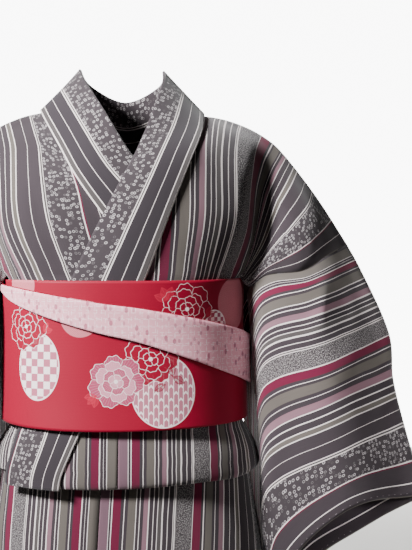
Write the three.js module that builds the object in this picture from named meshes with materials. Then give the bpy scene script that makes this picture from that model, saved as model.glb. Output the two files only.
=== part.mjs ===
// A striped kimono as it is worn, with its half-width belt tied at the back.
// Millimetres, +Z up, the front faces -Y and the wearer's left is +X. Z = 0 is the
// level of the shoulder points, so the whole garment hangs below it.
//
// Every piece of cloth is one thin wall: a net of points on the middle of the cloth,
// given its thickness on both sides. Pieces that lie on each other share one family of
// rings round the figure (see ring), a few millimetres further out for each layer.
import * as THREE from 'three';

// ---------------------------------------------------------------- driving sizes
const CLOTH = 1.2;          // body, overlap and sleeve cloth
const COLLAR = 2.4;         // collar band, folded double
const BELT = 1.8;           // half-width belt, woven double
const LAP = 4;              // the panels run this far under the collar band
const SEAM = 0.5;           // space between two edges that are sewn together
const SEAM_COLLAR = 0.6;    // space between the collar band and the panel under it
const SQUARE = 2.3;         // how square the rings are: 2 is an ellipse
const TIE = -331;           // top of the waist tuck, where the hidden tie goes
const HEM = -1290;

// ---------------------------------------------------------------- colours of the cloths
const material = (name, color, roughness) =>
  Object.assign(new THREE.MeshStandardMaterial({ color, roughness }), { name });
const kimonoCloth = material('kimono_cloth', 0x6e686b, 0.8);
const collarCloth = material('collar_cloth', 0x6f696c, 0.8);
const beltFace = material('obi_face', 0xc81f41, 0.55);

// ---------------------------------------------------------------- small mathematics
const V = (x, y, z) => new THREE.Vector3(x, y, z);
const at = (row) => V(row[0], row[1], row[2]);
const mix = (a, b, t) => a + (b - a) * t;
const clamp = (t) => Math.min(1, Math.max(0, t));
const smooth = (t) => { const s = clamp(t); return s * s * (3 - 2 * s); };
const bump = (x, c, w) => Math.exp(-(((x - c) / w) ** 2));
const sine = (deg) => Math.sin((deg * Math.PI) / 180);
const cosine = (deg) => Math.cos((deg * Math.PI) / 180);

// A smooth curve through points that may lie unevenly: t = 0, 1, 2 ... hits them.
function through(points, t) {
  const last = points.length - 1;
  const k = Math.min(last - 1, Math.max(0, Math.floor(t)));
  const s = t - k;
  const b = points[k], c = points[k + 1];
  const a = k > 0 ? points[k - 1] : b.clone().multiplyScalar(2).sub(c);
  const d = k < last - 1 ? points[k + 2] : c.clone().multiplyScalar(2).sub(b);
  const ab = Math.sqrt(Math.max(1e-6, a.distanceTo(b)));
  const bc = Math.sqrt(Math.max(1e-6, b.distanceTo(c)));
  const cd = Math.sqrt(Math.max(1e-6, c.distanceTo(d)));
  const slope = (p, q, r, pq, qr) => q.clone().sub(p).divideScalar(pq)
    .sub(r.clone().sub(p).divideScalar(pq + qr))
    .add(r.clone().sub(q).divideScalar(qr));
  const mb = slope(a, b, c, ab, bc).multiplyScalar(bc);
  const mc = slope(b, c, d, bc, cd).multiplyScalar(bc);
  const s2 = s * s, s3 = s2 * s;
  return b.clone().multiplyScalar(2 * s3 - 3 * s2 + 1)
    .add(mb.multiplyScalar(s3 - 2 * s2 + s))
    .add(c.clone().multiplyScalar(3 * s2 - 2 * s3))
    .add(mc.multiplyScalar(s3 - s2));
}
// The same for a table of numbers, each row starting with the key it is looked up by.
function lookup(table, key) {
  const up = table[0][0] < table[table.length - 1][0];
  let k = 0;
  while (k < table.length - 2 && (up ? key > table[k + 1][0] : key < table[k + 1][0])) k++;
  const t = clamp((key - table[k][0]) / (table[k + 1][0] - table[k][0]));
  return table[k].map((_, c) => {
    const p = table.map((row) => row[c]);
    const h = (i) => table[i + 1][0] - table[i][0];
    const tangent = (i) => {
      if (i <= 0 || i >= table.length - 1) return 0;
      const l = (p[i] - p[i - 1]) / h(i - 1), r = (p[i + 1] - p[i]) / h(i);
      return l * r <= 0 ? 0 : (2 * l * r) / (l + r);
    };
    const w = h(k), t2 = t * t, t3 = t2 * t;
    return p[k] * (2 * t3 - 3 * t2 + 1) + tangent(k) * w * (t3 - 2 * t2 + t)
      + p[k + 1] * (3 * t2 - 2 * t3) + tangent(k + 1) * w * (t3 - t2);
  });
}

// ---------------------------------------------------------------- cloth from a net
// net[row][column] holds points on the middle of the cloth. `round` closes the rows
// into a tube: the last row meets the first one again.
function wall(name, net, thick, cloth, round = false) {
  const R = net.length, C = net[0].length;
  const held = (i, count) => Math.min(count - 1, Math.max(0, i));
  const P = (r, c) => net[round ? (r + R) % R : held(r, R)][held(c, C)];
  const xyz = [];
  for (const side of [1, -1]) {
    for (let r = 0; r < R; r++) {
      for (let c = 0; c < C; c++) {
        const across = P(r, c + 1).clone().sub(P(r, c - 1));
        const along = P(r + 1, c).clone().sub(P(r - 1, c));
        const n = across.cross(along).normalize();
        const p = P(r, c).clone().addScaledVector(n, (side * thick) / 2);
        xyz.push(p.x, p.y, p.z);
      }
    }
  }
  const id = (side, r, c) => side * R * C + ((r + R) % R) * C + c;
  const faces = [];
  const quad = (a, b, c, d) => faces.push(a, b, c, a, c, d);
  const rows = round ? R : R - 1;
  for (let r = 0; r < rows; r++) {
    for (let c = 0; c < C - 1; c++) {
      quad(id(0, r, c), id(0, r, c + 1), id(0, r + 1, c + 1), id(0, r + 1, c));
      quad(id(1, r, c), id(1, r + 1, c), id(1, r + 1, c + 1), id(1, r, c + 1));
    }
    quad(id(0, r, 0), id(0, r + 1, 0), id(1, r + 1, 0), id(1, r, 0));
    quad(id(0, r + 1, C - 1), id(0, r, C - 1), id(1, r, C - 1), id(1, r + 1, C - 1));
  }
  if (!round) {
    for (let c = 0; c < C - 1; c++) {
      quad(id(0, 0, c + 1), id(0, 0, c), id(1, 0, c), id(1, 0, c + 1));
      quad(id(0, R - 1, c), id(0, R - 1, c + 1), id(1, R - 1, c + 1), id(1, R - 1, c));
    }
  }
  let volume = 0;
  const q = (i) => V(xyz[3 * i], xyz[3 * i + 1], xyz[3 * i + 2]);
  for (let f = 0; f < faces.length; f += 3) volume += q(faces[f]).dot(q(faces[f + 1]).cross(q(faces[f + 2])));
  for (let f = 0; volume < 0 && f < faces.length; f += 3) {
    [faces[f + 1], faces[f + 2]] = [faces[f + 2], faces[f + 1]];
  }
  const g = new THREE.BufferGeometry();
  g.setAttribute('position', new THREE.Float32BufferAttribute(xyz, 3));
  g.setIndex(faces);
  g.computeVertexNormals();
  const mesh = new THREE.Mesh(g, cloth);
  mesh.name = name;
  return mesh;
}

// ---------------------------------------------------------------- rings round the figure
// Half-width, depth to the front and depth to the back of the innermost layer.
const FIGURE = [ // z, halfWidth, front, back
  [-285, 112, 79, 85],
  [-331, 113, 80, 85],
  [-365, 114, 83, 88],
  [-391, 130, 88, 98],
  [-412, 135, 91, 104],
  [-430, 137, 92, 106],
  [-462, 148, 96, 111],
  [-520, 153, 101, 118],
  [-650, 160, 112, 124],
  [-900, 156, 112, 115],
  [HEM, 147, 103, 103],
];
// Long shallow folds that run down the skirt: where round the figure, how wide, how deep.
const SKIRT_FOLDS = [ // theta, width, depth
  [-52, 9, -3.2],
  [-24, 7, 2.4],
  [26, 8, -3.0],
  [58, 9, 2.6],
  [112, 12, -3.0],
  [150, 10, 2.5],
  [-118, 12, -3.2],
  [-148, 10, 2.8],
];
// theta counts degrees round the figure from the middle of the front towards the
// wearer's left; out is how far the layer lies outside the innermost one.
function ring(z, theta, out) {
  const [, w, f, b] = lookup(FIGURE, z);
  const s = sine(theta), c = cosine(theta);
  const power = 2 / SQUARE;
  const loose = smooth((-400 - z) / 160);
  let fold = 0;
  for (const [a, width, depth] of SKIRT_FOLDS) fold += depth * bump(theta, a, width);
  const o = out + fold * loose;
  return V((w + o) * Math.sign(s) * Math.abs(s) ** power,
    -((c > 0 ? f : b) + o) * Math.sign(c) * Math.abs(c) ** power, z);
}
// The theta at which a layer's front crosses a given x.
function thetaAt(z, x, out) {
  const w = lookup(FIGURE, z)[1] + out;
  return (Math.asin(Math.sign(x) * Math.min(1, Math.abs(x / w)) ** (SQUARE / 2)) * 180) / Math.PI;
}

// The waist tuck. Each panel comes up from the hem, turns out and down over the tie,
// turns out and up again at the bottom of the tuck, and goes on up to the shoulder.
// The right panel's tuck lies inside the left one's, as both are folded together.
const LAYERS = {
  left: { skirt: 4, down: 7, up: 19, bottom: -428, top: TIE },
  right: { skirt: 0, down: 10, up: 13, bottom: -417, top: TIE + 7 },
};
const MIDDLE_BACK = { skirt: 2, down: 6, up: 10, bottom: -425, top: TIE };
function layer(side, which, theta) {
  const t = smooth((Math.abs(theta) - 96) / 74);
  return mix(LAYERS[side][which], MIDDLE_BACK[which], t);
}
// The lower edge of the tuck is a little higher at the wearer's left side and wanders.
const tuckRise = (theta) => 12 * bump(theta, 88, 34) + 3 * bump(theta, -88, 30)
  - 3 * bump(theta, -12, 20) + 2.5 * bump(theta, 34, 16);
const raised = (z, theta) => z + tuckRise(theta) * smooth((-352 - z) / 60);

const UP_ROWS = [-285, -308, -340, -365, -391, -411];
const SKIRT_ROWS = [-365, -391, -411, -440, -500, -580, -720, -900, -1100, HEM];
// One line of the panel from the waist down to the hem, as rows of [z, out].
function tuckRows(side, theta) {
  const out = (which) => layer(side, which, theta);
  const up = out('up'), down = out('down'), skirt = out('skirt');
  const bottom = out('bottom'), top = out('top');
  const rows = [];
  for (const z of UP_ROWS) rows.push([z, up]);
  const r = (up - down) / 2, mid = (up + down) / 2;
  const deep = Math.min(4, r);
  for (const a of [45, 90, 135]) rows.push([bottom + deep - deep * sine(a), mid + r * cosine(a)]);
  for (const z of [-411, -391, -365]) rows.push([z, down]);
  const q = (down - skirt) / 2, middle = (down + skirt) / 2;
  const high = Math.min(3, q);
  for (const a of [0, 90, 180]) rows.push([top - high + high * sine(a), middle + q * cosine(a)]);
  for (const z of SKIRT_ROWS) rows.push([z, skirt]);
  return rows;
}
const SKIRT_FROM = UP_ROWS.length + 3 + 3 + 2; // row where the skirt layer starts
function tuckPoint(side, k, theta) {
  const [z, out] = tuckRows(side, theta)[k];
  const inTuck = k < SKIRT_FROM;
  return ring(inTuck ? raised(z, theta) : z, theta, out);
}
const TUCK_COUNT = tuckRows('left', 0).length;

// ---------------------------------------------------------------- collar band
// Outer edge (sewn to the panels) and inner edge (at the neck), from the wearer's left
// front over the nape to the right front. `t` counts from the left shoulder.
const COLLAR_EDGES = [ // t, outer x y z, inner x y z
  [4, 28, -106, -207, -52, -99, -207],
  [3, 59, -103, -124, 0, -100, -102],
  [2, 79, -85, -72, 15, -88, -72],
  [1, 90, -45, -39, 31, -55, -27],
  [0, 90, 0, -16, 44, -15, 21],
  [-1, 86, 40, -22, 43, 20, 36],
  [-2, 55, 80, -45, 38, 62, 25],
  [-3, -3, 98, -62, -5, 85, 8],
  [-4, -62, 82, -42, -46, 62, 26],
  [-5, -94, 40, -18, -53, 20, 38],
  [-6, -97, 0, -13, -46, -15, 23],
  [-7, -68, -60, -61, -18, -60, -21],
  [-8, -48, -85, -95, 13, -80, -71],
  [-9, -18, -94, -137, 50, -87, -110],
  [-10, 32, -96, -207, 98, -71, -207],
];
// Below the top of the belt both fronts of the band lie on the rings.
const COLLAR_LEFT_LOW = [ // z, outer x, inner x
  [-207, 28, -52],
  [-285, -5, -80],
  [-369, -41, -112],
  [-430, -64, -126],
];
const COLLAR_RIGHT_LOW = [ // z, outer x, inner x
  [-207, 32, 98],
  [-285, 78, 122],
  [-331, 96, 124],
];
const OUTER = COLLAR_EDGES.map((e) => V(e[1], e[2], e[3]));
const INNER = COLLAR_EDGES.map((e) => V(e[4], e[5], e[6]));
const leftOut = LAYERS.left.up + CLOTH / 2 + SEAM_COLLAR + COLLAR / 2;
const rightOut = LAYERS.right.up + CLOTH / 2 + SEAM_COLLAR + COLLAR / 2;
function lowCollar(table, z, s, out) {
  const [, xo, xi] = lookup(table, z);
  return ring(z, mix(thetaAt(z, xo, out), thetaAt(z, xi, out), s), out);
}
for (const [edge, s] of [[OUTER, 0], [INNER, 1]]) {
  for (const z of [-285, -369]) edge.unshift(lowCollar(COLLAR_LEFT_LOW, z, s, leftOut));
  edge.push(lowCollar(COLLAR_RIGHT_LOW, -285, s, rightOut));
}
// t runs 6 (left, below the belt's top) ... 0 (left shoulder) ... -11 (right waist).
const collarEdge = (edge, t) => through(edge, 6 - t);
function collarPoint(t, s) {
  const o = collarEdge(OUTER, t), i = collarEdge(INNER, t);
  const along = collarEdge(OUTER, t - 0.05).sub(collarEdge(OUTER, t + 0.05)).normalize();
  const n = i.clone().sub(o).cross(along).normalize();
  const onChest = smooth((t - 1.2) / 1.2) * smooth(5.2 - t) + smooth(-7 - t) * smooth(t + 11);
  const swell = mix(1.5, 4.5, onChest) * Math.sin(Math.PI * s);
  return o.lerp(i, s).addScaledVector(n, -swell);
}
// A point beside the collar's outer edge: `away` along the band's face (negative is under
// the band), `deep` below its middle.
function besideCollar(t, away, deep) {
  const o = collarPoint(t, 0), i = collarPoint(t, 0.25);
  const across = o.clone().sub(i).normalize();
  const along = collarPoint(t - 0.05, 0).sub(collarPoint(t + 0.05, 0)).normalize();
  const n = across.clone().cross(along).normalize();
  return o.addScaledVector(across, away).addScaledVector(n, -deep);
}
const UNDER_COLLAR = COLLAR / 2 + SEAM_COLLAR + CLOTH / 2;

// ---------------------------------------------------------------- upper half of the body
// Rows go from the shoulder down to just inside the belt; the columns lead from the
// chest to the armhole. `t` is the place on the collar where the row starts.
const FRONT_LEFT = [ // t, then x y z of: chest, side, valley, arm, seam
  [0, [118, 3, -24], [150, 4, -37], [176, 3, -56], [219, 0, -111], [255, 0, -167]],
  [1, [112, -38, -44], [144, -28, -60], [164, -14, -78], [210, -34, -130], [229, -36, -180]],
  [2, [105, -70, -80], [139, -51, -92], [154, -24, -108], [190, -52, -152], [200, -55, -197]],
  [3, [94, -90, -135], [130, -66, -146], [147, -28, -160], [158, -46, -186], [161, -48, -202]],
  [3.75, [78, -93, -186], [117, -67, -188], [136, -36, -192], [140, -42, -206], [147, -41, -212]],
  [3.86, [76, -93, -196], [114, -65, -196], [134, -36, -198], [136, -40, -209], [140.5, -39, -214]],
  [3.93, [75, -93, -202], [113, -65, -202], [131, -37, -200], [131, -35, -202.6], [132.8, -33.5, -204]],
  [4.0, [75, -92, -208], [112, -64, -208], [127, -38, -206], [130, -26, -202], [130.5, -16, -202]],
  [4.12, [74, -91, -216], [111, -63, -216], [126, -37, -216], [129.5, -24, -214], [130, -12, -214]],
];
const FRONT_RIGHT = [ // t, then x y z of: chest, side, valley, arm, seam
  [-6, [-118, 3, -20], [-150, 4, -34], [-176, 3, -53], [-219, 0, -110], [-255, 0, -167]],
  [-7, [-103, -46, -58], [-142, -34, -64], [-164, -14, -78], [-210, -34, -130], [-229, -36, -180]],
  [-8, [-94, -76, -97], [-137, -55, -100], [-155, -26, -110], [-190, -52, -152], [-200, -55, -197]],
  [-9, [-76, -92, -142], [-128, -67, -150], [-147, -28, -160], [-158, -46, -186], [-161, -48, -202]],
  [-9.7, [-60, -95, -187], [-116, -66, -189], [-136, -36, -192], [-140, -42, -206], [-147, -41, -212]],
  [-9.84, [-57, -95, -196], [-113, -65, -196], [-134, -36, -198], [-136, -40, -209], [-140.5, -39, -214]],
  [-9.93, [-56, -94, -202], [-112, -64, -202], [-131, -37, -200], [-131, -35, -202.6], [-132.8, -33.5, -204]],
  [-10.0, [-55, -94, -208], [-111, -63, -208], [-127, -38, -206], [-130, -26, -202], [-130.5, -16, -202]],
  [-10.1, [-54, -93, -216], [-110, -62, -216], [-126, -37, -216], [-129.5, -24, -214], [-130, -12, -214]],
];
// The back, from the shoulder down, given for the wearer's left. Below the nape the rows
// start at the seam down the middle of the back instead of at the collar.
const BACK = [ // t, then x y z of: blade, side, valley, arm, seam; the middle of the back
  [-1, [112, 38, -34], [147, 34, -47], [174, 26, -64], [217, 30, -125], [238, 30, -176], null],
  [-2, [88, 72, -60], [130, 58, -74], [159, 40, -90], [206, 46, -140], [218, 47, -184], null],
  [-3, [52, 93, -86], [116, 70, -100], [153, 42, -116], [190, 54, -160], [198, 52, -198], null],
  [null, [58, 95, -136], [115, 72, -146], [147, 42, -160], [160, 50, -186], [161, 49, -202], [0, 102, -125]],
  [null, [54, 92, -186], [106, 66, -188], [132, 41, -192], [134.5, 44, -203], [136, 46, -214], [0, 99, -186]],
  [null, [52, 90, -196], [104, 64, -196], [129, 39, -197], [132, 42, -203], [134.5, 43, -208], [0, 98, -196]],
  [null, [51, 89, -202], [103, 63, -202], [127, 38, -199], [129, 37, -200.5], [131, 35, -202], [0, 97, -202]],
  [null, [50, 88, -208], [102, 62, -208], [126, 37, -206], [129, 26, -202], [129.5, 16, -202], [0, 96, -208]],
  [null, [50, 87, -216], [101, 61, -216], [125, 36, -216], [128.5, 24, -214], [129, 12, -214], [0, 95, -216]],
];
// Where the columns stand on the rings, as shares of the way from the edge to the side.
const COLUMNS = [0, 0.36, 0.7, 1, 1.35, 1.7, 2, 2.5, 3, 4, 5];
const ON_RING = [0, 0.34, 0.64, 0.84, 0.94, 1];
const share = (c) => mix(ON_RING[Math.floor(c)], ON_RING[Math.min(5, Math.floor(c) + 1)], c - Math.floor(c));

// X of the seam between the left front panel and its overlap piece. The right front's
// seam mirrors it on the skirt, and runs straight down inside the tuck.
const UP_SEAM = [ // z, x
  [-285, -2], [-340, -1], [-425, -1], [-480, -22], [-700, -26], [HEM, -20],
];
const SKIRT_SEAM = [ // z, x
  [-331, -14], [-430, -20], [-520, -24], [-700, -26], [HEM, -20],
];
const RIGHT_UP_SEAM = 30;
const FIRST_FOLDED = UP_ROWS.length + 3; // row where the tuck turns down again
const LEFT_TURN = { x: -1, z: LAYERS.left.bottom };
const RIGHT_TURN = { x: RIGHT_UP_SEAM, z: LAYERS.right.bottom };
function overlapSeam(side, k, z) {
  const turn = side === 'left' ? LEFT_TURN : RIGHT_TURN;
  const top = side === 'left' ? -14 : 14;
  if (k < FIRST_FOLDED) return side === 'left' ? lookup(UP_SEAM, z)[1] : RIGHT_UP_SEAM;
  if (k < SKIRT_FROM) return mix(turn.x, top, (z - turn.z) / (LAYERS[side].top - turn.z));
  return lookup(SKIRT_SEAM, z)[1] * (side === 'left' ? 1 : -1);
}

// One whole panel: front hem, tuck, front, shoulder, back, tuck, back hem.
const SIDE_GAP = 0.25;      // degrees left open at each side seam
const MIDDLE_GAP = 0.15;    // degrees left open beside the middle of the back
const FRONT_STEPS = [0, 0.5, 1, 1.5, 2, 2.5, 3, 3.35, 3.7, 4, 5, 6, 7, 8];
const BACK_STEPS = [0.5, 1, 1.5, 2, 2.5, 3, 3.5, 4, 4.5, 5, 6, 7, 8, 9];
const column = (rows, c) => rows.map((row) => row[c]);
// A line on the rings from one theta to the side; its second point lies `step` further on.
function ringLine(side, k, from, to, step) {
  const rest = COLUMNS.slice(1).map((c) => tuckPoint(side, k, mix(from, to, share(c))));
  return [tuckPoint(side, k, from), tuckPoint(side, k, from + step), ...rest];
}
// The same line with only the columns that the tables name.
function ringControl(side, line, from, to) {
  return [line[0], line[1], ...[1, 2, 3, 4, 5].map((c) => tuckPoint(side, 0, mix(from, to, ON_RING[c])))];
}
const spread = (start, curves) => COLUMNS.slice(1).map((c) => through([start, ...curves], c));

function bodyPanel(side) {
  const left = side === 'left', m = left ? 1 : -1;
  const front = left ? FRONT_LEFT : FRONT_RIGHT;
  const edge = (t, deep = UNDER_COLLAR) => besideCollar(t, 1.2, deep);
  const lap = (t, deep = UNDER_COLLAR) => besideCollar(t, -LAP, deep);

  const toSide = m * (90 - SIDE_GAP);
  const frontRing = [];
  for (let k = 0; k < TUCK_COUNT; k++) {
    const [z, out] = tuckRows(side, 0)[k];
    const seam = thetaAt(z, overlapSeam(side, k, z) + (m * SEAM) / 2, out);
    frontRing.push(ringLine(side, k, seam, toSide, m * 2));
  }
  if (left) { // inside the belt's top, the left panel still starts under the collar
    const out = LAYERS.left.up, x = lookup(COLLAR_LEFT_LOW, -285)[1];
    const start = thetaAt(-285, x + 1.2, out);
    frontRing[0] = ringLine(side, 0, start, toSide, 0);
    frontRing[0][0] = tuckPoint(side, 0, thetaAt(-285, x - LAP, out));
  }
  const start = thetaAt(-285, frontRing[0][1].x, LAYERS[side].up);
  const control = front.map(([t, ...rest]) => [lap(t), edge(t), ...rest.map(at)]);
  control.push(ringControl(side, frontRing[0], start, toSide));
  const places = front.map((row) => V(row[0], 0, 0));
  const chest = FRONT_STEPS.map((r) => {
    const t = through(places, r).x;
    const curves = [2, 3, 4, 5, 6].map((c) => through(column(control, c), r));
    return [lap(t), edge(t), ...spread(edge(t), curves)];
  });

  const fromMiddle = m * (180 - MIDDLE_GAP), backSide = m * (90 + SIDE_GAP);
  const backRing = [];
  for (let k = 0; k < TUCK_COUNT; k++) backRing.push(ringLine(side, k, fromMiddle, backSide, -m * 2.4));
  const beside = (p, c) => V(m * (SEAM / 2 + 5 * c), p.y, p.z);
  const head = (t, middle) => {
    if (t === null) return [0, 1].map((c) => beside(V(0, middle[1] - 0.2 * c, middle[2]), c));
    if (t === -3) return [beside(lap(-3, UNDER_COLLAR + 0.8), 0), beside(edge(-3, UNDER_COLLAR + 0.8), 1)];
    return left ? [lap(t), edge(t)] : [lap(-6 - t), edge(-6 - t)];
  };
  const backControl = [control[0]];
  for (const [t, ...points] of BACK) {
    const lift = left ? 0 : mix(6, 0, smooth((-points[0][2] - 30) / 60));
    const rest = points.slice(0, 5).map((p) => V(m * p[0], p[1], p[2] + lift));
    backControl.push([...head(t, points[5]), ...rest]);
  }
  backControl.push(ringControl(side, backRing[0], fromMiddle, backSide));
  const blade = BACK_STEPS.map((r) => {
    const curves = [0, 1, 2, 3, 4, 5, 6].map((c) => through(column(backControl, c), r));
    let line = curves.slice(0, 2);
    if (r > 3) line = line.map(beside);
    else if (r < 3 && r !== Math.floor(r)) line = head(-r, null);
    return [...line, ...spread(line[1], curves.slice(2))];
  });
  return [...frontRing.reverse(), ...chest.reverse(), ...blade, ...backRing];
}

// The overlap piece: from its tip under the belt, through the tuck, down to the hem.
const FREE_EDGE = [ // row, theta
  [FIRST_FOLDED, -31], [FIRST_FOLDED + 3, -50], [SKIRT_FROM, -58],
  [SKIRT_FROM + 4, -76], [SKIRT_FROM + 6, -80], [TUCK_COUNT - 1, -84],
];
const OVERLAP_COLUMNS = 6;
function overlapPiece(side) {
  const left = side === 'left', m = left ? 1 : -1;
  const net = [];
  for (let k = 1; k < TUCK_COUNT; k++) {
    const [z, out] = tuckRows(side, 0)[k];
    const seam = thetaAt(z, overlapSeam(side, k, z) - (m * SEAM) / 2, out);
    const free = lookup(FREE_EDGE, k)[1];
    let edge = left ? free : -free * (k < SKIRT_FROM ? 0.9 : 0.95);
    if (k < FIRST_FOLDED - 1) {
      edge = left ? thetaAt(z, lookup(COLLAR_LEFT_LOW, z)[1] - LAP, out) : mix(60, 50, k / 10);
    }
    const line = [];
    for (let i = 0; i <= OVERLAP_COLUMNS; i++) {
      line.push(tuckPoint(side, k, mix(seam, edge, i / OVERLAP_COLUMNS)));
    }
    net.push(line);
  }
  return net;
}

// ---------------------------------------------------------------- collar band
const IN_TUCK = [-430, -421, -411, -391, -365, -340, -308]; // z of the left end's rows
const LEFT_CHEST = [4.5, 4.12, 4.0, 3.93, 3.86, 3.75, 3.5, 3.25];
const RIGHT_CHEST = [-9.25, -9.5, -9.7, -9.84, -9.93, -10, -10.1, -10.5];
function collarBand() {
  const across = [0, 0.25, 0.5, 0.75, 1];
  const places = [...LEFT_CHEST];
  for (let t = 3; t >= -9; t -= 0.5) places.push(t);
  places.push(...RIGHT_CHEST);
  const net = IN_TUCK.map((z) => across.map((s) => {
    const [, outer, inner] = lookup(COLLAR_LEFT_LOW, z);
    const theta = mix(thetaAt(z, outer, leftOut), thetaAt(z, inner, leftOut), s);
    return ring(raised(z, theta), theta, leftOut);
  }));
  net.push(across.map((s) => lowCollar(COLLAR_LEFT_LOW, -285, s, leftOut)));
  for (const t of places) net.push(across.map((s) => collarPoint(t, s)));
  for (const z of [-285, -303, -320]) {
    net.push(across.map((s) => lowCollar(COLLAR_RIGHT_LOW, z, s, rightOut)));
  }
  return net;
}

// ---------------------------------------------------------------- sleeves
// Given for the wearer's left. Rows lead from the body seam to the cuff; the columns go
// from the fold on top of the arm down the front sheet, and down the back sheet.
const SLEEVE_FRONT = [ // share of the width, then x y z of: fold, front, inner, hang, foot
  [0, [255, 0, -167], [200, -55, -197], [147, -41, -212], [145, 56, -252], [145, 95, -530]],
  [0.25, [269, -3, -193], [207, -68, -214], [153, -57, -230], [150, 36, -345], [155, 94, -560]],
  [0.5, [303, -8, -272], [228, -80, -302], [157, -60, -336], [162, 8, -450], [170, 80, -620]],
  [0.75, [305, -15, -315], [228, -82, -340], [159, -55, -381], [166, 0, -500], [174, 68, -690]],
  [0.88, [318, -16, -371], [242, -80, -395], [160, -52, -448], [170, 0, -570], [179, 50, -730]],
  [1, [341, -20, -451], [250, -76, -457], [181, -42, -536], [174, 0, -680], [182, 28, -790]],
];
const SLEEVE_BACK = [ // share of the width, then x y z of: back, tuck, hang, foot
  [0, [198, 52, -198], [136, 46, -214], [135, 74, -292], [150, 110, -532]],
  [0.25, [212, 48, -228], [149, 57, -248], [143, 72, -345], [160, 108, -562]],
  [0.5, [238, 45, -312], [166, 48, -348], [164, 44, -455], [177, 94, -622]],
  [0.75, [240, 40, -356], [170, 38, -396], [174, 26, -505], [182, 80, -692]],
  [0.88, [258, 36, -420], [176, 22, -460], [179, 14, -574], [185, 60, -732]],
  [1, [285, 26, -492], [196, -26, -545], [181, 8, -683], [187, 36, -792]],
];
const SEAM_FRONT = FRONT_LEFT.slice(0, 5).map((row) => at(row[5]));
const SEAM_BACK = [at(FRONT_LEFT[0][5]), ...BACK.slice(0, 5).map((row) => at(row[5]))];
const ALONG = [0, 0.5, 1, 1.4, 1.8, 2.2, 2.6, 3, 3.5, 4, 4.4, 4.7, 5];
const DOWN = [0, 0.25, 0.5, 0.75, 1, 1.25, 1.5, 1.75, 2, 2.3, 2.65, 3, 3.35, 3.7, 4];
function sleeve(side) {
  const m = side === 'left' ? 1 : -1;
  // the first line follows the armhole seam as far as it is sewn, and then hangs free
  const frontLine = (k, v) => (k === 0 && v <= 2 ? through(SEAM_FRONT, v * 2)
    : through(SLEEVE_FRONT[k].slice(1).map(at), v));
  const backLine = (k, v) => (k === 0 && v <= 2 ? through(SEAM_BACK, v * 2.5)
    : through([at(SLEEVE_FRONT[k][1]), ...SLEEVE_BACK[k].slice(1).map(at)], v));
  const line = (sheet, v) => {
    const curves = SLEEVE_FRONT.map((_, k) => sheet(k, v));
    return ALONG.map((u) => {
      const p = through(curves, u);
      if (u === 0) p.addScaledVector(through(curves, 0.1).sub(p).normalize(), v <= 2 ? 1.8 : 0.2);
      return V(m * p.x, p.y, p.z);
    });
  };
  const front = DOWN.map((v) => line(frontLine, v));
  const back = DOWN.slice(1).map((v) => line(backLine, v));
  return [...front, ...back.reverse()];
}

// ---------------------------------------------------------------- belt
const BELT_RINGS = [ // z, halfWidth, front, back
  [-204, 135.5, 110.5, 101.5],
  [-245, 135.0, 108, 100],
  [-285, 135.2, 106.5, 101],
  [-330, 135.6, 107, 102],
  [-370, 136.2, 109.5, 104],
];
function beltRing(z, theta, out) {
  const [, w, f, b] = lookup(BELT_RINGS, z);
  const s = sine(theta), c = cosine(theta), power = 2 / SQUARE;
  return V((w + out) * Math.sign(s) * Math.abs(s) ** power,
    -((c > 0 ? f : b) + out) * Math.sign(c) * Math.abs(c) ** power, z);
}
// Edges of the belt round the figure.
const beltTop = (theta) => -206 + 2 * bump(theta, 90, 40) - 1.5 * bump(theta, 0, 60);
const beltBottom = (theta) => -361 - 7.5 * bump(theta, -10, 62);
const TURNED = [ // theta, z of the fold, z of the free edge, how far it stands out
  [-172, -208, -212, 0],
  [-100, -208, -212, 0],
  [-84, -209.5, -213.5, 0],
  [-70, -212, -221, 0],
  [-55, -214.5, -231, 0.3],
  [-30, -222, -247, 0.6],
  [0, -234, -268, 0.8],
  [30, -247, -292, 1],
  [60, -259, -312, 1.4],
  [90, -268, -324, 2.5],
  [120, -268, -322, 1.5],
  [172, -262, -312, 0.5],
];
const ROUND = 48;
function beltFirst() {
  const net = [];
  for (let i = 0; i < ROUND; i++) {
    const theta = -180 + (360 * i) / ROUND;
    const top = beltTop(theta), bottom = beltBottom(theta) + 1;
    net.push([0, 0.12, 0.3, 0.5, 0.7, 0.88, 1].map((v) => beltRing(mix(bottom, top, v), theta, 0)));
  }
  return net;
}
function beltSecond() {
  const net = [];
  const gap = 3.0, turned = 2.6;
  for (let i = 0; i <= ROUND; i++) {
    const theta = mix(-172, 172, i / ROUND);
    const [, fold, free, proud] = lookup(TURNED, theta);
    const bottom = beltBottom(theta);
    const leaning = (v) => gap + 0.3 * proud * smooth((v - 0.6) / 0.4);
    const line = [0, 0.2, 0.45, 0.7, 0.9].map((v) => beltRing(mix(bottom, fold - 3, v), theta, leaning(v)));
    line.push(beltRing(fold - 2, theta, gap + proud * 0.3));
    line.push(beltRing(fold - 0.2, theta, gap + turned * 0.5 + proud * 0.6));
    line.push(beltRing(fold - 2, theta, gap + turned + proud));
    for (const v of [0.35, 0.7, 1]) line.push(beltRing(mix(fold - 2, free, v), theta, gap + turned + proud));
    net.push(line);
  }
  return net;
}

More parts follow.
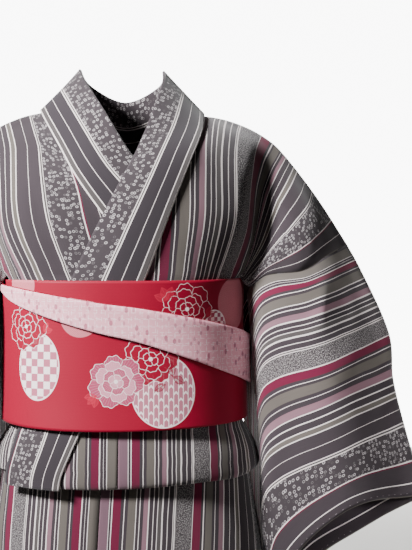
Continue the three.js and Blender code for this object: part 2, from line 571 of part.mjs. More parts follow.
// ---------------------------------------------------------------- bow at the back
const BOW_IN = 1.6;          // how far the bow is pressed towards the belt
const WING = [ // along the loop: x, y, top z, bottom z
  [4, 112, -268, -302],
  [22, 112, -264, -304],
  [60, 109, -246, -318],
  [110, 103, -226, -336],
  [146, 97, -218, -346],
  [155, 101, -217, -347],
  [150, 109, -219, -347],
  [112, 124, -228, -340],
  [60, 130, -246, -322],
  [22, 125, -264, -305],
  [4, 124.5, -267, -303],
];
function wing(side) {
  const m = side === 'left' ? 1 : -1;
  const tops = WING.map((w) => V(w[0], w[1], w[2])), lows = WING.map((w) => V(w[0], w[1], w[3]));
  const net = [];
  for (let a = 0; a <= 18; a++) {
    const t = (a / 18) * (WING.length - 1);
    const p = through(tops, t), q = through(lows, t);
    const gathered = smooth((70 - p.x) / 60);
    net.push([0, 1, 2, 3, 4, 5, 6].map((k) => {
      const s = k / 6;
      const pleat = 1.6 * gathered * Math.cos(Math.PI * k);
      const swell = 4 * Math.sin(Math.PI * s) * (1 - gathered) * (t > 5 ? 1 : -0.6);
      const y = mix(p.y, q.y, s) - BOW_IN + pleat + swell;
      return V(m * mix(p.x, q.x, s), y, mix(p.z, q.z, s));
    }));
  }
  return net;
}
function knot() {
  const net = [];
  const N = 24;
  for (let i = 0; i < N; i++) {
    const a = (360 * i) / N;
    const p = 2 / 3.2;
    const c = cosine(a), s = sine(a);
    net.push([-1, -0.6, -0.2, 0.2, 0.6, 1].map((k) => {
      const half = 23 - 2.5 * Math.abs(s);
      const full = 1 - k * k;
      const y = 119.4 - BOW_IN + (12.4 + 0.8 * full) * Math.sign(c) * Math.abs(c) ** p;
      return V(k * half, y, -285 + (26 + 1.5 * full) * Math.sign(s) * Math.abs(s) ** p);
    }));
  }
  return net;
}

// ---------------------------------------------------------------- the garment
const kimono = new THREE.Group();
kimono.name = 'kimono';
kimono.add(
  wall('body_left', bodyPanel('left'), CLOTH, kimonoCloth),
  wall('body_right', bodyPanel('right'), CLOTH, kimonoCloth),
  wall('okumi_left', overlapPiece('left'), CLOTH, kimonoCloth),
  wall('okumi_right', overlapPiece('right'), CLOTH, kimonoCloth),
  wall('collar', collarBand(), COLLAR, collarCloth),
  wall('sleeve_left', sleeve('left'), CLOTH, kimonoCloth, true),
  wall('sleeve_right', sleeve('right'), CLOTH, kimonoCloth, true),
  wall('obi_first_wrap', beltFirst(), BELT, beltFace, true),
  wall('obi_second_wrap', beltSecond(), BELT, beltFace),
  wall('bow_wing_left', wing('left'), BELT, beltFace),
  wall('bow_wing_right', wing('right'), BELT, beltFace),
  wall('bow_knot', knot(), BELT, beltFace, true),
);
export default kimono;
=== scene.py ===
# %% [markdown]
# # A striped kimono as it is worn, with its half-width belt
# The CAD model is loaded as a fixed frame. Each piece of cloth is then woven anew on the
# same form, as a fine thin shell with its own stripes, and takes the plain solid's place.

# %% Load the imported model
import math
import bpy
import mathutils
import numpy as np
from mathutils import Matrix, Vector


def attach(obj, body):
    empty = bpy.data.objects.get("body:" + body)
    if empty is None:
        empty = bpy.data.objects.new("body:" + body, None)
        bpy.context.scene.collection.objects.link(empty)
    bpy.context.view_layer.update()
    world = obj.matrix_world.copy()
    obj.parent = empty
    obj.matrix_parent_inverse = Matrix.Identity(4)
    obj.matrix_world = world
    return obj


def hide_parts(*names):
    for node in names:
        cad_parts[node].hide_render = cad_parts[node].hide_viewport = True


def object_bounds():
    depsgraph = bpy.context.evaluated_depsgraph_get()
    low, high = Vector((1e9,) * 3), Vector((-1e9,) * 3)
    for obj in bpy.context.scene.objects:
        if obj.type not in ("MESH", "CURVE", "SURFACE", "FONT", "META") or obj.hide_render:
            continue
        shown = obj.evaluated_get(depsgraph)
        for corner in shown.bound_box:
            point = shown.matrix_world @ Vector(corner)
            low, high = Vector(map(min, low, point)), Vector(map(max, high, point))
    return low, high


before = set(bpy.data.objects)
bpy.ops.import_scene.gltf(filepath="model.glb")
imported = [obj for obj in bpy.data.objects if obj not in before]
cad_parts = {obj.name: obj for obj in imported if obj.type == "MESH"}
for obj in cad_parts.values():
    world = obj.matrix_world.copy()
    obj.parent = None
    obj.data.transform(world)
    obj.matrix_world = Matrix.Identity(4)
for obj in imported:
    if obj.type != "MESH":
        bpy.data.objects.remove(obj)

CAD_BOX = [list(corner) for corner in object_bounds()]
print("CAD box", CAD_BOX)

# %% [markdown]
# ## Sizes
# Everything below is in millimetres, as a dressmaker would note it, and is turned into
# metres only when a mesh is made. The tables are the same forms that the solids have.

# %% Driving sizes
CLOTH, COLLAR, BELT = 1.2, 2.4, 1.8          # thickness of the three cloths
LAP, SEAM, SEAM_COLLAR = 4, 0.5, 0.6         # turning under the collar; gaps at a seam
SQUARE, TIE, HEM = 2.3, -331, -1290          # how square the rings are; heights of tie and hem

FIGURE = [  # z, half-width, front, back
    [-285, 112, 79, 85], [-331, 113, 80, 85], [-365, 114, 83, 88], [-391, 130, 88, 98],
    [-412, 135, 91, 104], [-430, 137, 92, 106], [-462, 148, 96, 111], [-520, 153, 101, 118],
    [-650, 160, 112, 124], [-900, 156, 112, 115], [HEM, 147, 103, 103]]
SKIRT_FOLDS = [  # theta, width, depth
    [-52, 9, -3.2], [-24, 7, 2.4], [26, 8, -3.0], [58, 9, 2.6],
    [112, 12, -3.0], [150, 10, 2.5], [-118, 12, -3.2], [-148, 10, 2.8]]
# How far out from the figure each layer of the waist tuck lies, and its lower and upper fold.
LAYERS = {"left": dict(skirt=4, down=7, up=19, bottom=-428, top=TIE),
          "right": dict(skirt=0, down=10, up=13, bottom=-417, top=TIE + 7)}
MIDDLE_BACK = dict(skirt=2, down=6, up=10, bottom=-425, top=TIE)
UP_ROWS = [-285, -308, -340, -365, -391, -411]
SKIRT_ROWS = [-365, -391, -411, -440, -500, -580, -720, -900, -1100, HEM]
SKIRT_FROM = len(UP_ROWS) + 3 + 3 + 2        # first row below the tuck
UNDER_COLLAR = COLLAR / 2 + SEAM_COLLAR + CLOTH / 2
LEFT_OUT = LAYERS["left"]["up"] + UNDER_COLLAR
RIGHT_OUT = LAYERS["right"]["up"] + UNDER_COLLAR
print("cloth", CLOTH, "mm, collar", COLLAR, "mm, belt", BELT, "mm thick")

# %% [markdown]
# ## Curves through a few points
# A cutter draws a smooth line through a few chalk marks. These functions do the same with
# the rows of the tables, so that the tables stay short enough to check against the photo.

# %% Small mathematics
def mix(a, b, t):
    return a + (b - a) * t


def smooth(t):
    t = np.clip(t, 0, 1)
    return t * t * (3 - 2 * t)


def bump(x, centre, width):
    return np.exp(-((x - centre) / width) ** 2)


def through(points, t):
    """A smooth curve through unevenly spaced points; t = 0, 1, 2 ... hits them."""
    p = np.asarray(points, float)
    last = len(p) - 1
    k = int(min(last - 1, max(0, math.floor(t))))
    s = t - k
    b, c = p[k], p[k + 1]
    a = p[k - 1] if k > 0 else 2 * b - c
    d = p[k + 2] if k < last - 1 else 2 * c - b

    def gap(u, v):
        return np.sqrt(np.maximum(1e-6, np.linalg.norm(v - u, axis=-1, keepdims=True)))

    def slope(u, v, w, uv, vw):
        return (v - u) / uv - (w - u) / (uv + vw) + (w - v) / vw
    ab, bc, cd = gap(a, b), gap(b, c), gap(c, d)
    mb, mc = slope(a, b, c, ab, bc) * bc, slope(b, c, d, bc, cd) * bc
    return (b * (2 * s**3 - 3 * s**2 + 1) + mb * (s**3 - 2 * s**2 + s)
            + c * (3 * s**2 - 2 * s**3) + mc * (s**3 - s**2))


def lookup(table, key):
    """The row of a table at a key between two of its own, without overshooting."""
    rows = [[float(x) for x in row] for row in table]
    up = rows[0][0] < rows[-1][0]
    k = 0
    while k < len(rows) - 2 and (key > rows[k + 1][0] if up else key < rows[k + 1][0]):
        k += 1
    w = rows[k + 1][0] - rows[k][0]
    t = min(1.0, max(0.0, (key - rows[k][0]) / w))

    def tangent(i, c):
        if i <= 0 or i >= len(rows) - 1:
            return 0.0
        l = (rows[i][c] - rows[i - 1][c]) / (rows[i][0] - rows[i - 1][0])
        r = (rows[i + 1][c] - rows[i][c]) / (rows[i + 1][0] - rows[i][0])
        return 0.0 if l * r <= 0 else 2 * l * r / (l + r)
    return [rows[k][c] * (2 * t**3 - 3 * t**2 + 1) + tangent(k, c) * w * (t**3 - 2 * t**2 + t)
            + rows[k + 1][c] * (3 * t**2 - 2 * t**3) + tangent(k + 1, c) * w * (t**3 - t**2)
            for c in range(len(rows[0]))]


def unit(v):
    return v / max(1e-9, np.linalg.norm(v))


def arcs(line):
    """Distance of each point of a row from its first one."""
    steps = np.linalg.norm(np.diff(np.asarray(line), axis=0), axis=1)
    return np.concatenate([[0], np.cumsum(steps)])


print("a curve through 0, 1, 4 and 9 passes", through([[0], [1], [4], [9]], 1.5)[0].round(2))

# %% [markdown]
# ## The form of the cloth
# On a real figure the kimono hangs in layers: skirt, then the waist tuck folded down and
# up again, then the collar, then the belt. All of them follow rings round the figure, each
# a few millimetres further out. Formulas for the rings keep the layers apart by design,
# which a cloth simulation of eight tightly packed layers wouldn't.

# %% Rings round the figure, and the waist tuck
def round_figure(table, z, theta, out):
    """A point at height z and angle theta (0 in front), `out` mm off the table's ring."""
    _, w, f, b = lookup(table, z)
    s, c = math.sin(math.radians(theta)), math.cos(math.radians(theta))
    power = 2 / SQUARE
    return np.array([(w + out) * np.sign(s) * abs(s) ** power,
                     -((f if c > 0 else b) + out) * np.sign(c) * abs(c) ** power, z])


def ring(z, theta, out):
    """The same round the figure, with the skirt's loose folds."""
    loose = smooth((-400 - z) / 160)
    fold = sum(depth * bump(theta, a, width) for a, width, depth in SKIRT_FOLDS)
    return round_figure(FIGURE, z, theta, out + fold * loose)


def theta_at(z, x, out):
    """The angle at which the ring has this x."""
    w = lookup(FIGURE, z)[1] + out
    return math.degrees(math.asin(np.sign(x) * min(1, abs(x / w)) ** (SQUARE / 2)))


def layer(side, which, theta):
    """A size of the tuck, which both panels share at the middle of the back."""
    return mix(LAYERS[side][which], MIDDLE_BACK[which], smooth((abs(theta) - 96) / 74))


def raised(z, theta):
    """The tuck's lower fold hangs higher at the side and dips in front."""
    rise = (12 * bump(theta, 88, 34) + 3 * bump(theta, -88, 30)
            - 3 * bump(theta, -12, 20) + 2.5 * bump(theta, 34, 16))
    return z + rise * smooth((-352 - z) / 60)


def tuck_rows(side, theta):
    """Height and distance of each row, from the belt through both folds of the tuck."""
    up, down, skirt = (layer(side, w, theta) for w in ("up", "down", "skirt"))
    bottom, top = layer(side, "bottom", theta), layer(side, "top", theta)
    rows = [(z, up) for z in UP_ROWS]
    r, middle = (up - down) / 2, (up + down) / 2
    deep = min(4, r)
    for a in (45, 90, 135):
        rows.append((bottom + deep - deep * math.sin(math.radians(a)),
                     middle + r * math.cos(math.radians(a))))
    rows += [(z, down) for z in (-411, -391, -365)]
    q, middle = (down - skirt) / 2, (down + skirt) / 2
    high = min(3, q)
    for a in (0, 90, 180):
        rows.append((top - high + high * math.sin(math.radians(a)), middle + q * math.cos(math.radians(a))))
    return rows + [(z, skirt) for z in SKIRT_ROWS]


def tuck_point(side, k, theta):
    z, out = tuck_rows(side, theta)[k]
    return ring(raised(z, theta) if k < SKIRT_FROM else z, theta, out)


TUCK_COUNT = len(tuck_rows("left", 0))
print("rows of a panel from the belt to the hem:", TUCK_COUNT)

# %% [markdown]
# ## The collar's two edges
# The collar is sewn to the neck edge and stands off the nape. Its outer and inner edges
# are two curves through fifteen places each, and all that is sewn to it starts from them.
# A strip bent along one middle line would twist at the nape.

# %% The collar band's edges
COLLAR_EDGES = [  # t, outer x y z, inner x y z
    [4, 28, -106, -207, -52, -99, -207], [3, 59, -103, -124, 0, -100, -102],
    [2, 79, -85, -72, 15, -88, -72], [1, 90, -45, -39, 31, -55, -27],
    [0, 90, 0, -16, 44, -15, 21], [-1, 86, 40, -22, 43, 20, 36],
    [-2, 55, 80, -45, 38, 62, 25], [-3, -3, 98, -62, -5, 85, 8],
    [-4, -62, 82, -42, -46, 62, 26], [-5, -94, 40, -18, -53, 20, 38],
    [-6, -97, 0, -13, -46, -15, 23], [-7, -68, -60, -61, -18, -60, -21],
    [-8, -48, -85, -95, 13, -80, -71], [-9, -18, -94, -137, 50, -87, -110],
    [-10, 32, -96, -207, 98, -71, -207]]
COLLAR_LEFT_LOW = [[-207, 28, -52], [-285, -5, -80], [-369, -41, -112], [-430, -64, -126]]
COLLAR_RIGHT_LOW = [[-207, 32, 98], [-285, 78, 122], [-331, 96, 124]]


def low_collar(table, z, s, out):
    """The collar below the chest; s runs from its outer to its inner edge."""
    _, outer, inner = lookup(table, z)
    return ring(z, mix(theta_at(z, outer, out), theta_at(z, inner, out), s), out)


OUTER = [np.array(e[1:4], float) for e in COLLAR_EDGES]
INNER = [np.array(e[4:7], float) for e in COLLAR_EDGES]
for edge, s in ((OUTER, 0), (INNER, 1)):
    for z in (-285, -369):
        edge.insert(0, low_collar(COLLAR_LEFT_LOW, z, s, LEFT_OUT))
    edge.append(low_collar(COLLAR_RIGHT_LOW, -285, s, RIGHT_OUT))


def collar_point(t, s):
    """A place t along the collar and s across it, slightly rounded."""
    o, i = through(OUTER, 6 - t), through(INNER, 6 - t)
    along = unit(through(OUTER, 6.05 - t) - through(OUTER, 5.95 - t))
    n = unit(np.cross(i - o, along))
    chest = smooth((t - 1.2) / 1.2) * smooth(5.2 - t) + smooth(-7 - t) * smooth(t + 11)
    return mix(o, i, s) - n * mix(1.5, 4.5, chest) * math.sin(math.pi * s)


def beside_collar(t, away, deep=UNDER_COLLAR):
    """A place on the cloth that the collar is sewn to."""
    o, i = collar_point(t, 0), collar_point(t, 0.25)
    across = unit(o - i)
    along = unit(collar_point(t - 0.05, 0) - collar_point(t + 0.05, 0))
    n = unit(np.cross(across, along))
    return o + across * away - n * deep


print("collar edge", round(arcs(OUTER)[-1]), "mm long")

# %% [markdown]
# ## The two body panels
# Each panel is one length, from the front hem over the shoulder to the back hem. Draped
# by a cloth simulation it would fold where it liked, and the photo fixes the folds. So its
# rows are read off the photo at the chest, and follow the rings from the belt down.

# %% The two body panels
FRONT_LEFT = [  # t, then x y z of: chest, side, valley, arm, seam
    [0, [118, 3, -24], [150, 4, -37], [176, 3, -56], [219, 0, -111], [255, 0, -167]],
    [1, [112, -38, -44], [144, -28, -60], [164, -14, -78], [210, -34, -130], [229, -36, -180]],
    [2, [105, -70, -80], [139, -51, -92], [154, -24, -108], [190, -52, -152], [200, -55, -197]],
    [3, [94, -90, -135], [130, -66, -146], [147, -28, -160], [158, -46, -186], [161, -48, -202]],
    [3.75, [78, -93, -186], [117, -67, -188], [136, -36, -192], [140, -42, -206], [147, -41, -212]],
    [3.86, [76, -93, -196], [114, -65, -196], [134, -36, -198], [136, -40, -209], [140.5, -39, -214]],
    [3.93, [75, -93, -202], [113, -65, -202], [131, -37, -200], [131, -35, -202.6], [132.8, -33.5, -204]],
    [4.0, [75, -92, -208], [112, -64, -208], [127, -38, -206], [130, -26, -202], [130.5, -16, -202]],
    [4.12, [74, -91, -216], [111, -63, -216], [126, -37, -216], [129.5, -24, -214], [130, -12, -214]]]
FRONT_RIGHT = [  # the same for the other side
    [-6, [-118, 3, -20], [-150, 4, -34], [-176, 3, -53], [-219, 0, -110], [-255, 0, -167]],
    [-7, [-103, -46, -58], [-142, -34, -64], [-164, -14, -78], [-210, -34, -130], [-229, -36, -180]],
    [-8, [-94, -76, -97], [-137, -55, -100], [-155, -26, -110], [-190, -52, -152], [-200, -55, -197]],
    [-9, [-76, -92, -142], [-128, -67, -150], [-147, -28, -160], [-158, -46, -186], [-161, -48, -202]],
    [-9.7, [-60, -95, -187], [-116, -66, -189], [-136, -36, -192], [-140, -42, -206], [-147, -41, -212]],
    [-9.84, [-57, -95, -196], [-113, -65, -196], [-134, -36, -198], [-136, -40, -209], [-140.5, -39, -214]],
    [-9.93, [-56, -94, -202], [-112, -64, -202], [-131, -37, -200], [-131, -35, -202.6],
     [-132.8, -33.5, -204]],
    [-10.0, [-55, -94, -208], [-111, -63, -208], [-127, -38, -206], [-130, -26, -202], [-130.5, -16, -202]],
    [-10.1, [-54, -93, -216], [-110, -62, -216], [-126, -37, -216], [-129.5, -24, -214], [-130, -12, -214]]]
BACK = [  # t, then x y z of: blade, side, valley, arm, seam; the middle of the back
    [-1, [112, 38, -34], [147, 34, -47], [174, 26, -64], [217, 30, -125], [238, 30, -176], None],
    [-2, [88, 72, -60], [130, 58, -74], [159, 40, -90], [206, 46, -140], [218, 47, -184], None],
    [-3, [52, 93, -86], [116, 70, -100], [153, 42, -116], [190, 54, -160], [198, 52, -198], None],
    [None, [58, 95, -136], [115, 72, -146], [147, 42, -160], [160, 50, -186], [161, 49, -202],
     [0, 102, -125]],
    [None, [54, 92, -186], [106, 66, -188], [132, 41, -192], [134.5, 44, -203], [136, 46, -214],
     [0, 99, -186]],
    [None, [52, 90, -196], [104, 64, -196], [129, 39, -197], [132, 42, -203], [134.5, 43, -208],
     [0, 98, -196]],
    [None, [51, 89, -202], [103, 63, -202], [127, 38, -199], [129, 37, -200.5], [131, 35, -202],
     [0, 97, -202]],
    [None, [50, 88, -208], [102, 62, -208], [126, 37, -206], [129, 26, -202], [129.5, 16, -202],
     [0, 96, -208]],
    [None, [50, 87, -216], [101, 61, -216], [125, 36, -216], [128.5, 24, -214], [129, 12, -214],
     [0, 95, -216]]]
COLUMNS = [0, 0.36, 0.7, 1, 1.35, 1.7, 2, 2.5, 3, 4, 5]
ON_RING = [0, 0.34, 0.64, 0.84, 0.94, 1]
SIDE_FRONT, SIDE_BACK, MIDDLE = 89.75, 90.25, 179.85  # degrees round, a seam's gap apart
SHOWS = 1.2                                  # mm from the collar's edge to the first line in sight
UP_SEAM = [[-285, -2], [-340, -1], [-425, -1], [-480, -22], [-700, -26], [HEM, -20]]
SKIRT_SEAM = [[-331, -14], [-430, -20], [-520, -24], [-700, -26], [HEM, -20]]


def share(c):
    """Share of the way round from the front seam to the side, for a column's number."""
    k = int(min(4, math.floor(c)))
    return mix(ON_RING[k], ON_RING[k + 1], c - k)


def overlap_seam(side, k, z):
    """x of the seam between a panel and its overlap piece, layer by layer of the tuck."""
    left = side == "left"
    if k < len(UP_ROWS) + 3:
        return lookup(UP_SEAM, z)[1] if left else 30
    if k < SKIRT_FROM:
        return mix(-1, -14, (z + 428) / 97) if left else mix(30, 14, (z + 417) / 93)
    return lookup(SKIRT_SEAM, z)[1] * (1 if left else -1)


# %% Where the stripes lie on a panel
# `a` is the place across the width of the cloth, in millimetres of its stripe chart, and
# grows towards the wearer's left on both panels.
A_AT_SEAM = {"left": 17.5, "right": 262}     # a at the seam to the overlap piece
A_AT_MIDDLE = {"left": 8, "right": 268}      # a at the middle of the back
CHEST_Z = -207
A_AT_CHEST = {"left": (-8.5, -0.09), "right": (259, 0.32)}  # a of x = 0 at CHEST_Z, and a mm higher
VALLEY_A = {"left": 137.0, "right": 116.0}   # a at the armhole's valley
OUTSIDE_A = [0, 39, 78, 137]                 # a beyond the valley at columns 3, 3.5, 4 and 5


def stripe_row_upper(side, line, front):
    """The stripes of a row above the belt: straight at the chest, spread at the arm."""
    m = 1 if side == "left" else -1
    s = arcs(line)
    valley = 1 + COLUMNS.index(3)
    a = np.zeros(len(line))
    x, z = line[1][0], line[1][2]
    if front:
        base, lean = A_AT_CHEST[side]
        start = base + x + lean * (z - CHEST_Z)
    else:
        start = VALLEY_A[side] - m * (s[valley] - s[1])
    inner = (s[:valley + 1] - s[1]) / (s[valley] - s[1])
    a[:valley + 1] = mix(start, VALLEY_A[side], inner)
    for i, c in enumerate(COLUMNS[COLUMNS.index(3):]):
        a[valley + i] = VALLEY_A[side] + m * np.interp(c, [3, 3.5, 4, 5], OUTSIDE_A)
    return a


print("stripes at the chest lean", A_AT_CHEST["left"][1], "and", A_AT_CHEST["right"][1])


# %% A panel's net, from the front hem to the back hem
def body_panel(side):
    """The net of a panel and the stripe place of each of its points."""
    left = side == "left"
    m = 1 if left else -1
    front = FRONT_LEFT if left else FRONT_RIGHT
    side_theta = m * SIDE_FRONT

    def ring_rows(edge_of, to_side, step, start, sign):
        rows, marks = [], []
        for k in range(TUCK_COUNT):
            edge = edge_of(k)
            line = [tuck_point(side, k, edge), tuck_point(side, k, edge + step)]
            line += [tuck_point(side, k, mix(edge, to_side, share(c))) for c in COLUMNS[1:]]
            rows.append(line)
            marks.append(start + sign * arcs(line))
        return rows, marks

    def seam_theta(k):
        z, out = tuck_rows(side, 0)[k]
        return theta_at(z, overlap_seam(side, k, z) + m * SEAM / 2, out)
    f_rows, f_marks = ring_rows(seam_theta, side_theta, m * 2, A_AT_SEAM[side], m)
    if left:
        out, xo = LAYERS[side]["up"], lookup(COLLAR_LEFT_LOW, -285)[1]
        e, l = theta_at(-285, xo + SHOWS, out), theta_at(-285, xo - LAP, out)
        f_rows[0] = [tuck_point(side, 0, theta) for theta in (
            l, e, *(mix(e, side_theta, share(c)) for c in COLUMNS[1:]))]
    e = theta_at(-285, f_rows[0][1][0], LAYERS[side]["up"])
    control = [[beside_collar(t, -LAP), beside_collar(t, SHOWS), *map(np.array, rest)] for t, *rest in front]
    control.append(f_rows[0][:2] + [tuck_point(side, 0, mix(e, side_theta, on)) for on in ON_RING[1:]])
    control = np.array(control, float)
    upper = []
    for r in (*np.arange(0, 3.25, 0.25), 3.35, 3.7, 4, 5, 6, 7, 8):
        k = int(min(7, r))
        t = mix(front[k][0], front[k + 1][0], r - k)
        row = through(control, r)
        across = np.concatenate([[beside_collar(t, SHOWS)], row[2:]])
        upper.append([beside_collar(t, -LAP), across[0]] + [through(across, c) for c in COLUMNS[1:]])
    u_marks = [stripe_row_upper(side, line, True) for line in upper]

    back_control = [control[0]]
    for t, *rest in BACK:
        middle = rest.pop()
        if t == -3:
            l, e3 = (beside_collar(-3, away, UNDER_COLLAR + 0.8) for away in (-LAP, SHOWS))
            head = [[m * SEAM / 2, l[1], l[2]], [m * (SEAM / 2 + 5), e3[1], e3[2]]]
        elif t is not None:
            tt = t if left else -6 - t
            head = [beside_collar(tt, -LAP), beside_collar(tt, SHOWS)]
        else:
            head = [[m * SEAM / 2, middle[1], middle[2]], [m * (SEAM / 2 + 5), middle[1] - 0.2, middle[2]]]
        lift = 0 if left else mix(6, 0, smooth((-rest[0][2] - 30) / 60))
        back_control.append([*head, *([m * p[0], p[1], p[2] + lift] for p in rest)])
    b_rows, b_marks = ring_rows(lambda k: m * MIDDLE, m * SIDE_BACK, -m * 2.4, A_AT_MIDDLE[side], m)
    back_control.append(b_rows[0][:2] + [
        tuck_point(side, 0, mix(m * MIDDLE, m * SIDE_BACK, on)) for on in ON_RING[1:]])
    back_control = np.array(back_control, float)
    back = []
    for r in (*np.arange(0.25, 2.75, 0.25), 3, 3.5, 4, 4.5, 5, 6, 7, 8, 9):
        row = through(back_control, r)
        line = [row[0], row[1]]
        if r > 3:
            for c in (0, 1):
                line[c][0] = m * (SEAM / 2 + 5 * c)
        elif r < 2.9 and r != int(r):
            t = -r if left else -6 + r
            line = [beside_collar(t, -LAP), beside_collar(t, SHOWS)]
        across = np.concatenate([[line[1]], row[2:]])
        back.append(line + [through(across, c) for c in COLUMNS[1:]])
    k_marks = [stripe_row_upper(side, line, False) for line in back]
    net = f_rows[::-1] + upper[::-1] + back + b_rows
    chart = f_marks[::-1] + u_marks[::-1] + k_marks + b_marks
    return np.array(net), np.array(chart)


print("body panel net, rows and columns:", body_panel("left")[0].shape[:2])

# %% [markdown]
# ## The overlap pieces
# A narrow length widens each front edge, so that the fronts cross. It follows the same
# layers of the waist tuck as its panel, from the seam to its free edge.

# %% The overlap pieces
LEFT_EDGE = [[len(UP_ROWS) + 3, -31], [len(UP_ROWS) + 6, -50], [SKIRT_FROM, -58],
             [SKIRT_FROM + 4, -76], [SKIRT_FROM + 6, -80], [TUCK_COUNT - 1, -84]]


def overlap_piece(side):
    """The net of an overlap piece, from its seam to its free edge."""
    left = side == "left"
    m = 1 if left else -1
    net, chart = [], []
    for k in range(1, TUCK_COUNT):
        z, out = tuck_rows(side, 0)[k]
        seam = theta_at(z, overlap_seam(side, k, z) - m * SEAM / 2, out)
        if k < len(UP_ROWS) + 2:
            edge = theta_at(z, lookup(COLLAR_LEFT_LOW, z)[1] - LAP, out) if left else mix(60, 50, k / 10)
        else:
            free = lookup(LEFT_EDGE, k)[1]
            edge = free if left else -free * (0.9 if k < SKIRT_FROM else 0.95)
        line = [tuck_point(side, k, mix(seam, edge, i / 6)) for i in range(7)]
        net.append(line)
        chart.append(arcs(line))
    return np.array(net), np.array(chart)


print("overlap net, rows and columns:", overlap_piece("left")[0].shape[:2])

# %% [markdown]
# ## The collar band
# One strip folded double runs from front to front round the nape. It is laid between the
# two edge curves, slightly rounded across, as folded cloth is.

# %% The collar band
def collar_band():
    """Rows from the left front's end round the nape to the right front's end."""
    net, chart = [], []
    S = [0, 0.25, 0.5, 0.75, 1]
    for z in (-430, -421, -411, -391, -365, -340, -308, -285):
        _, xo, xi = lookup(COLLAR_LEFT_LOW, z)
        line = []
        for s in S:
            theta = mix(theta_at(z, xo, LEFT_OUT), theta_at(z, xi, LEFT_OUT), s)
            line.append(ring(raised(z, theta), theta, LEFT_OUT))
        net.append(line)
        chart.append(np.array(S) * mix(62, 76, smooth((-300 - z) / 60)))
    places = [4.5, 4.12, 4.0, 3.93, 3.86, 3.75, 3.5, 3.25, 3]
    places += [2.75 - 0.25 * i for i in range(47)]
    places += [-9, -9.25, -9.5, -9.7, -9.84, -9.93, -10, -10.1, -10.5]
    for t in places:
        net.append([collar_point(t, s) for s in S])
        chart.append(np.array(S) * 62)
    for z in (-285, -303, -320):
        net.append([low_collar(COLLAR_RIGHT_LOW, z, s, RIGHT_OUT) for s in S])
        chart.append(np.array(S) * 62)
    return np.array(net), np.array(chart)


print("collar net, rows and columns:", collar_band()[0].shape[:2])

# %% [markdown]
# ## The sleeves
# A sleeve is one length folded over the arm, and its lower part hangs as a bag. It is
# modelled as a closed ring of lines from the armhole to the cuff, and its stripes keep
# their order from fold to foot, squeezed where the cloth gathers at the armpit.

# %% The sleeves
SLEEVE_FRONT = [  # share of the width, then x y z of: fold, front, inner, hang, foot
    [0, [255, 0, -167], [200, -55, -197], [147, -41, -212], [145, 56, -252], [145, 95, -530]],
    [0.25, [269, -3, -193], [207, -68, -214], [153, -57, -230], [150, 36, -345], [155, 94, -560]],
    [0.5, [303, -8, -272], [228, -80, -302], [157, -60, -336], [162, 8, -450], [170, 80, -620]],
    [0.75, [305, -15, -315], [228, -82, -340], [159, -55, -381], [166, 0, -500], [174, 68, -690]],
    [0.88, [318, -16, -371], [242, -80, -395], [160, -52, -448], [170, 0, -570], [179, 50, -730]],
    [1, [341, -20, -451], [250, -76, -457], [181, -42, -536], [174, 0, -680], [182, 28, -790]]]
SLEEVE_BACK = [  # share of the width, then x y z of: back, tuck, hang, foot
    [0, [198, 52, -198], [136, 46, -214], [135, 74, -292], [150, 110, -532]],
    [0.25, [212, 48, -228], [149, 57, -248], [143, 72, -345], [160, 108, -562]],
    [0.5, [238, 45, -312], [166, 48, -348], [164, 44, -455], [177, 94, -622]],
    [0.75, [240, 40, -356], [170, 38, -396], [174, 26, -505], [182, 80, -692]],
    [0.88, [258, 36, -420], [176, 22, -460], [179, 14, -574], [185, 60, -732]],
    [1, [285, 26, -492], [196, -26, -545], [181, 8, -683], [187, 36, -792]]]
SEAM_FRONT = [row[5] for row in FRONT_LEFT[:5]]
SEAM_BACK = [FRONT_LEFT[0][5]] + [row[5] for row in BACK[:5]]
# Where the stripes lie: share of the sleeve's width against place in the stripe chart, on
# the fold over the arm and on the line below it.
ON_FOLD = [[0, 0.044, 0.18, 0.229, 0.341, 0.438, 0.494, 0.542, 0.752, 0.812, 0.847, 0.886, 0.944, 0.985, 1],
           [-3, 0, 19.7, 28.2, 54, 87.4, 106.4, 115.9, 140.9, 163.8, 182, 198.5, 232.4, 249.6, 260]]
ON_INNER = [[0, 0.214, 0.26, 0.343, 0.425, 0.471, 0.509, 0.753, 0.808, 0.846, 0.877, 0.947, 0.985, 1],
            [0, 19.7, 28.2, 54.2, 87.4, 106.4, 115.9, 140.9, 163.8, 182, 198.5, 232.4, 250, 260]]
SLEEVE_REPEAT = 262.1


def sleeve(side):
    """Lines down the front, round the foot and up the back, from armhole to cuff."""
    m = 1 if side == "left" else -1

    def front_line(k, v):
        return through(SEAM_FRONT, v * 2) if k == 0 and v <= 2 else through(SLEEVE_FRONT[k][1:], v)

    def back_line(k, v):
        if k == 0 and v <= 2:
            return through(SEAM_BACK, v * 2.5)
        return through([SLEEVE_FRONT[k][1]] + SLEEVE_BACK[k][1:], v)
    along = [0, 0.25, 0.5, 0.75, 1, 1.2, 1.4, 1.6, 1.8, 2, 2.2, 2.4, 2.6, 2.8,
             3, 3.25, 3.5, 3.75, 4, 4.2, 4.4, 4.6, 4.8, 5]
    shares = [row[0] for row in SLEEVE_FRONT]
    net, chart = [], []

    def lay(fn, v):
        columns = [fn(k, v) for k in range(6)]
        line, marks = [], []
        for u in along:
            p = through(columns, u)
            if u == 0:
                p = p + unit(through(columns, 0.1) - p) * (-0.9 if v <= 2 else 0.2)
            line.append([m * p[0], p[1], p[2]])
            w = np.interp(u, range(6), shares)
            a = mix(np.interp(w, *ON_FOLD), np.interp(w, *ON_INNER), min(1, v / 2))
            marks.append(a if m > 0 else SLEEVE_REPEAT - a)
        net.append(line)
        chart.append(marks)
    down = [0, 0.25, 0.5, 0.75, 1, 1.25, 1.5, 1.75, 2, 2.3, 2.65, 3, 3.35, 3.7, 4]
    for v in down:
        lay(front_line, v)
    for v in down[:0:-1]:
        lay(back_line, v)
    return np.array(net), np.array(chart)


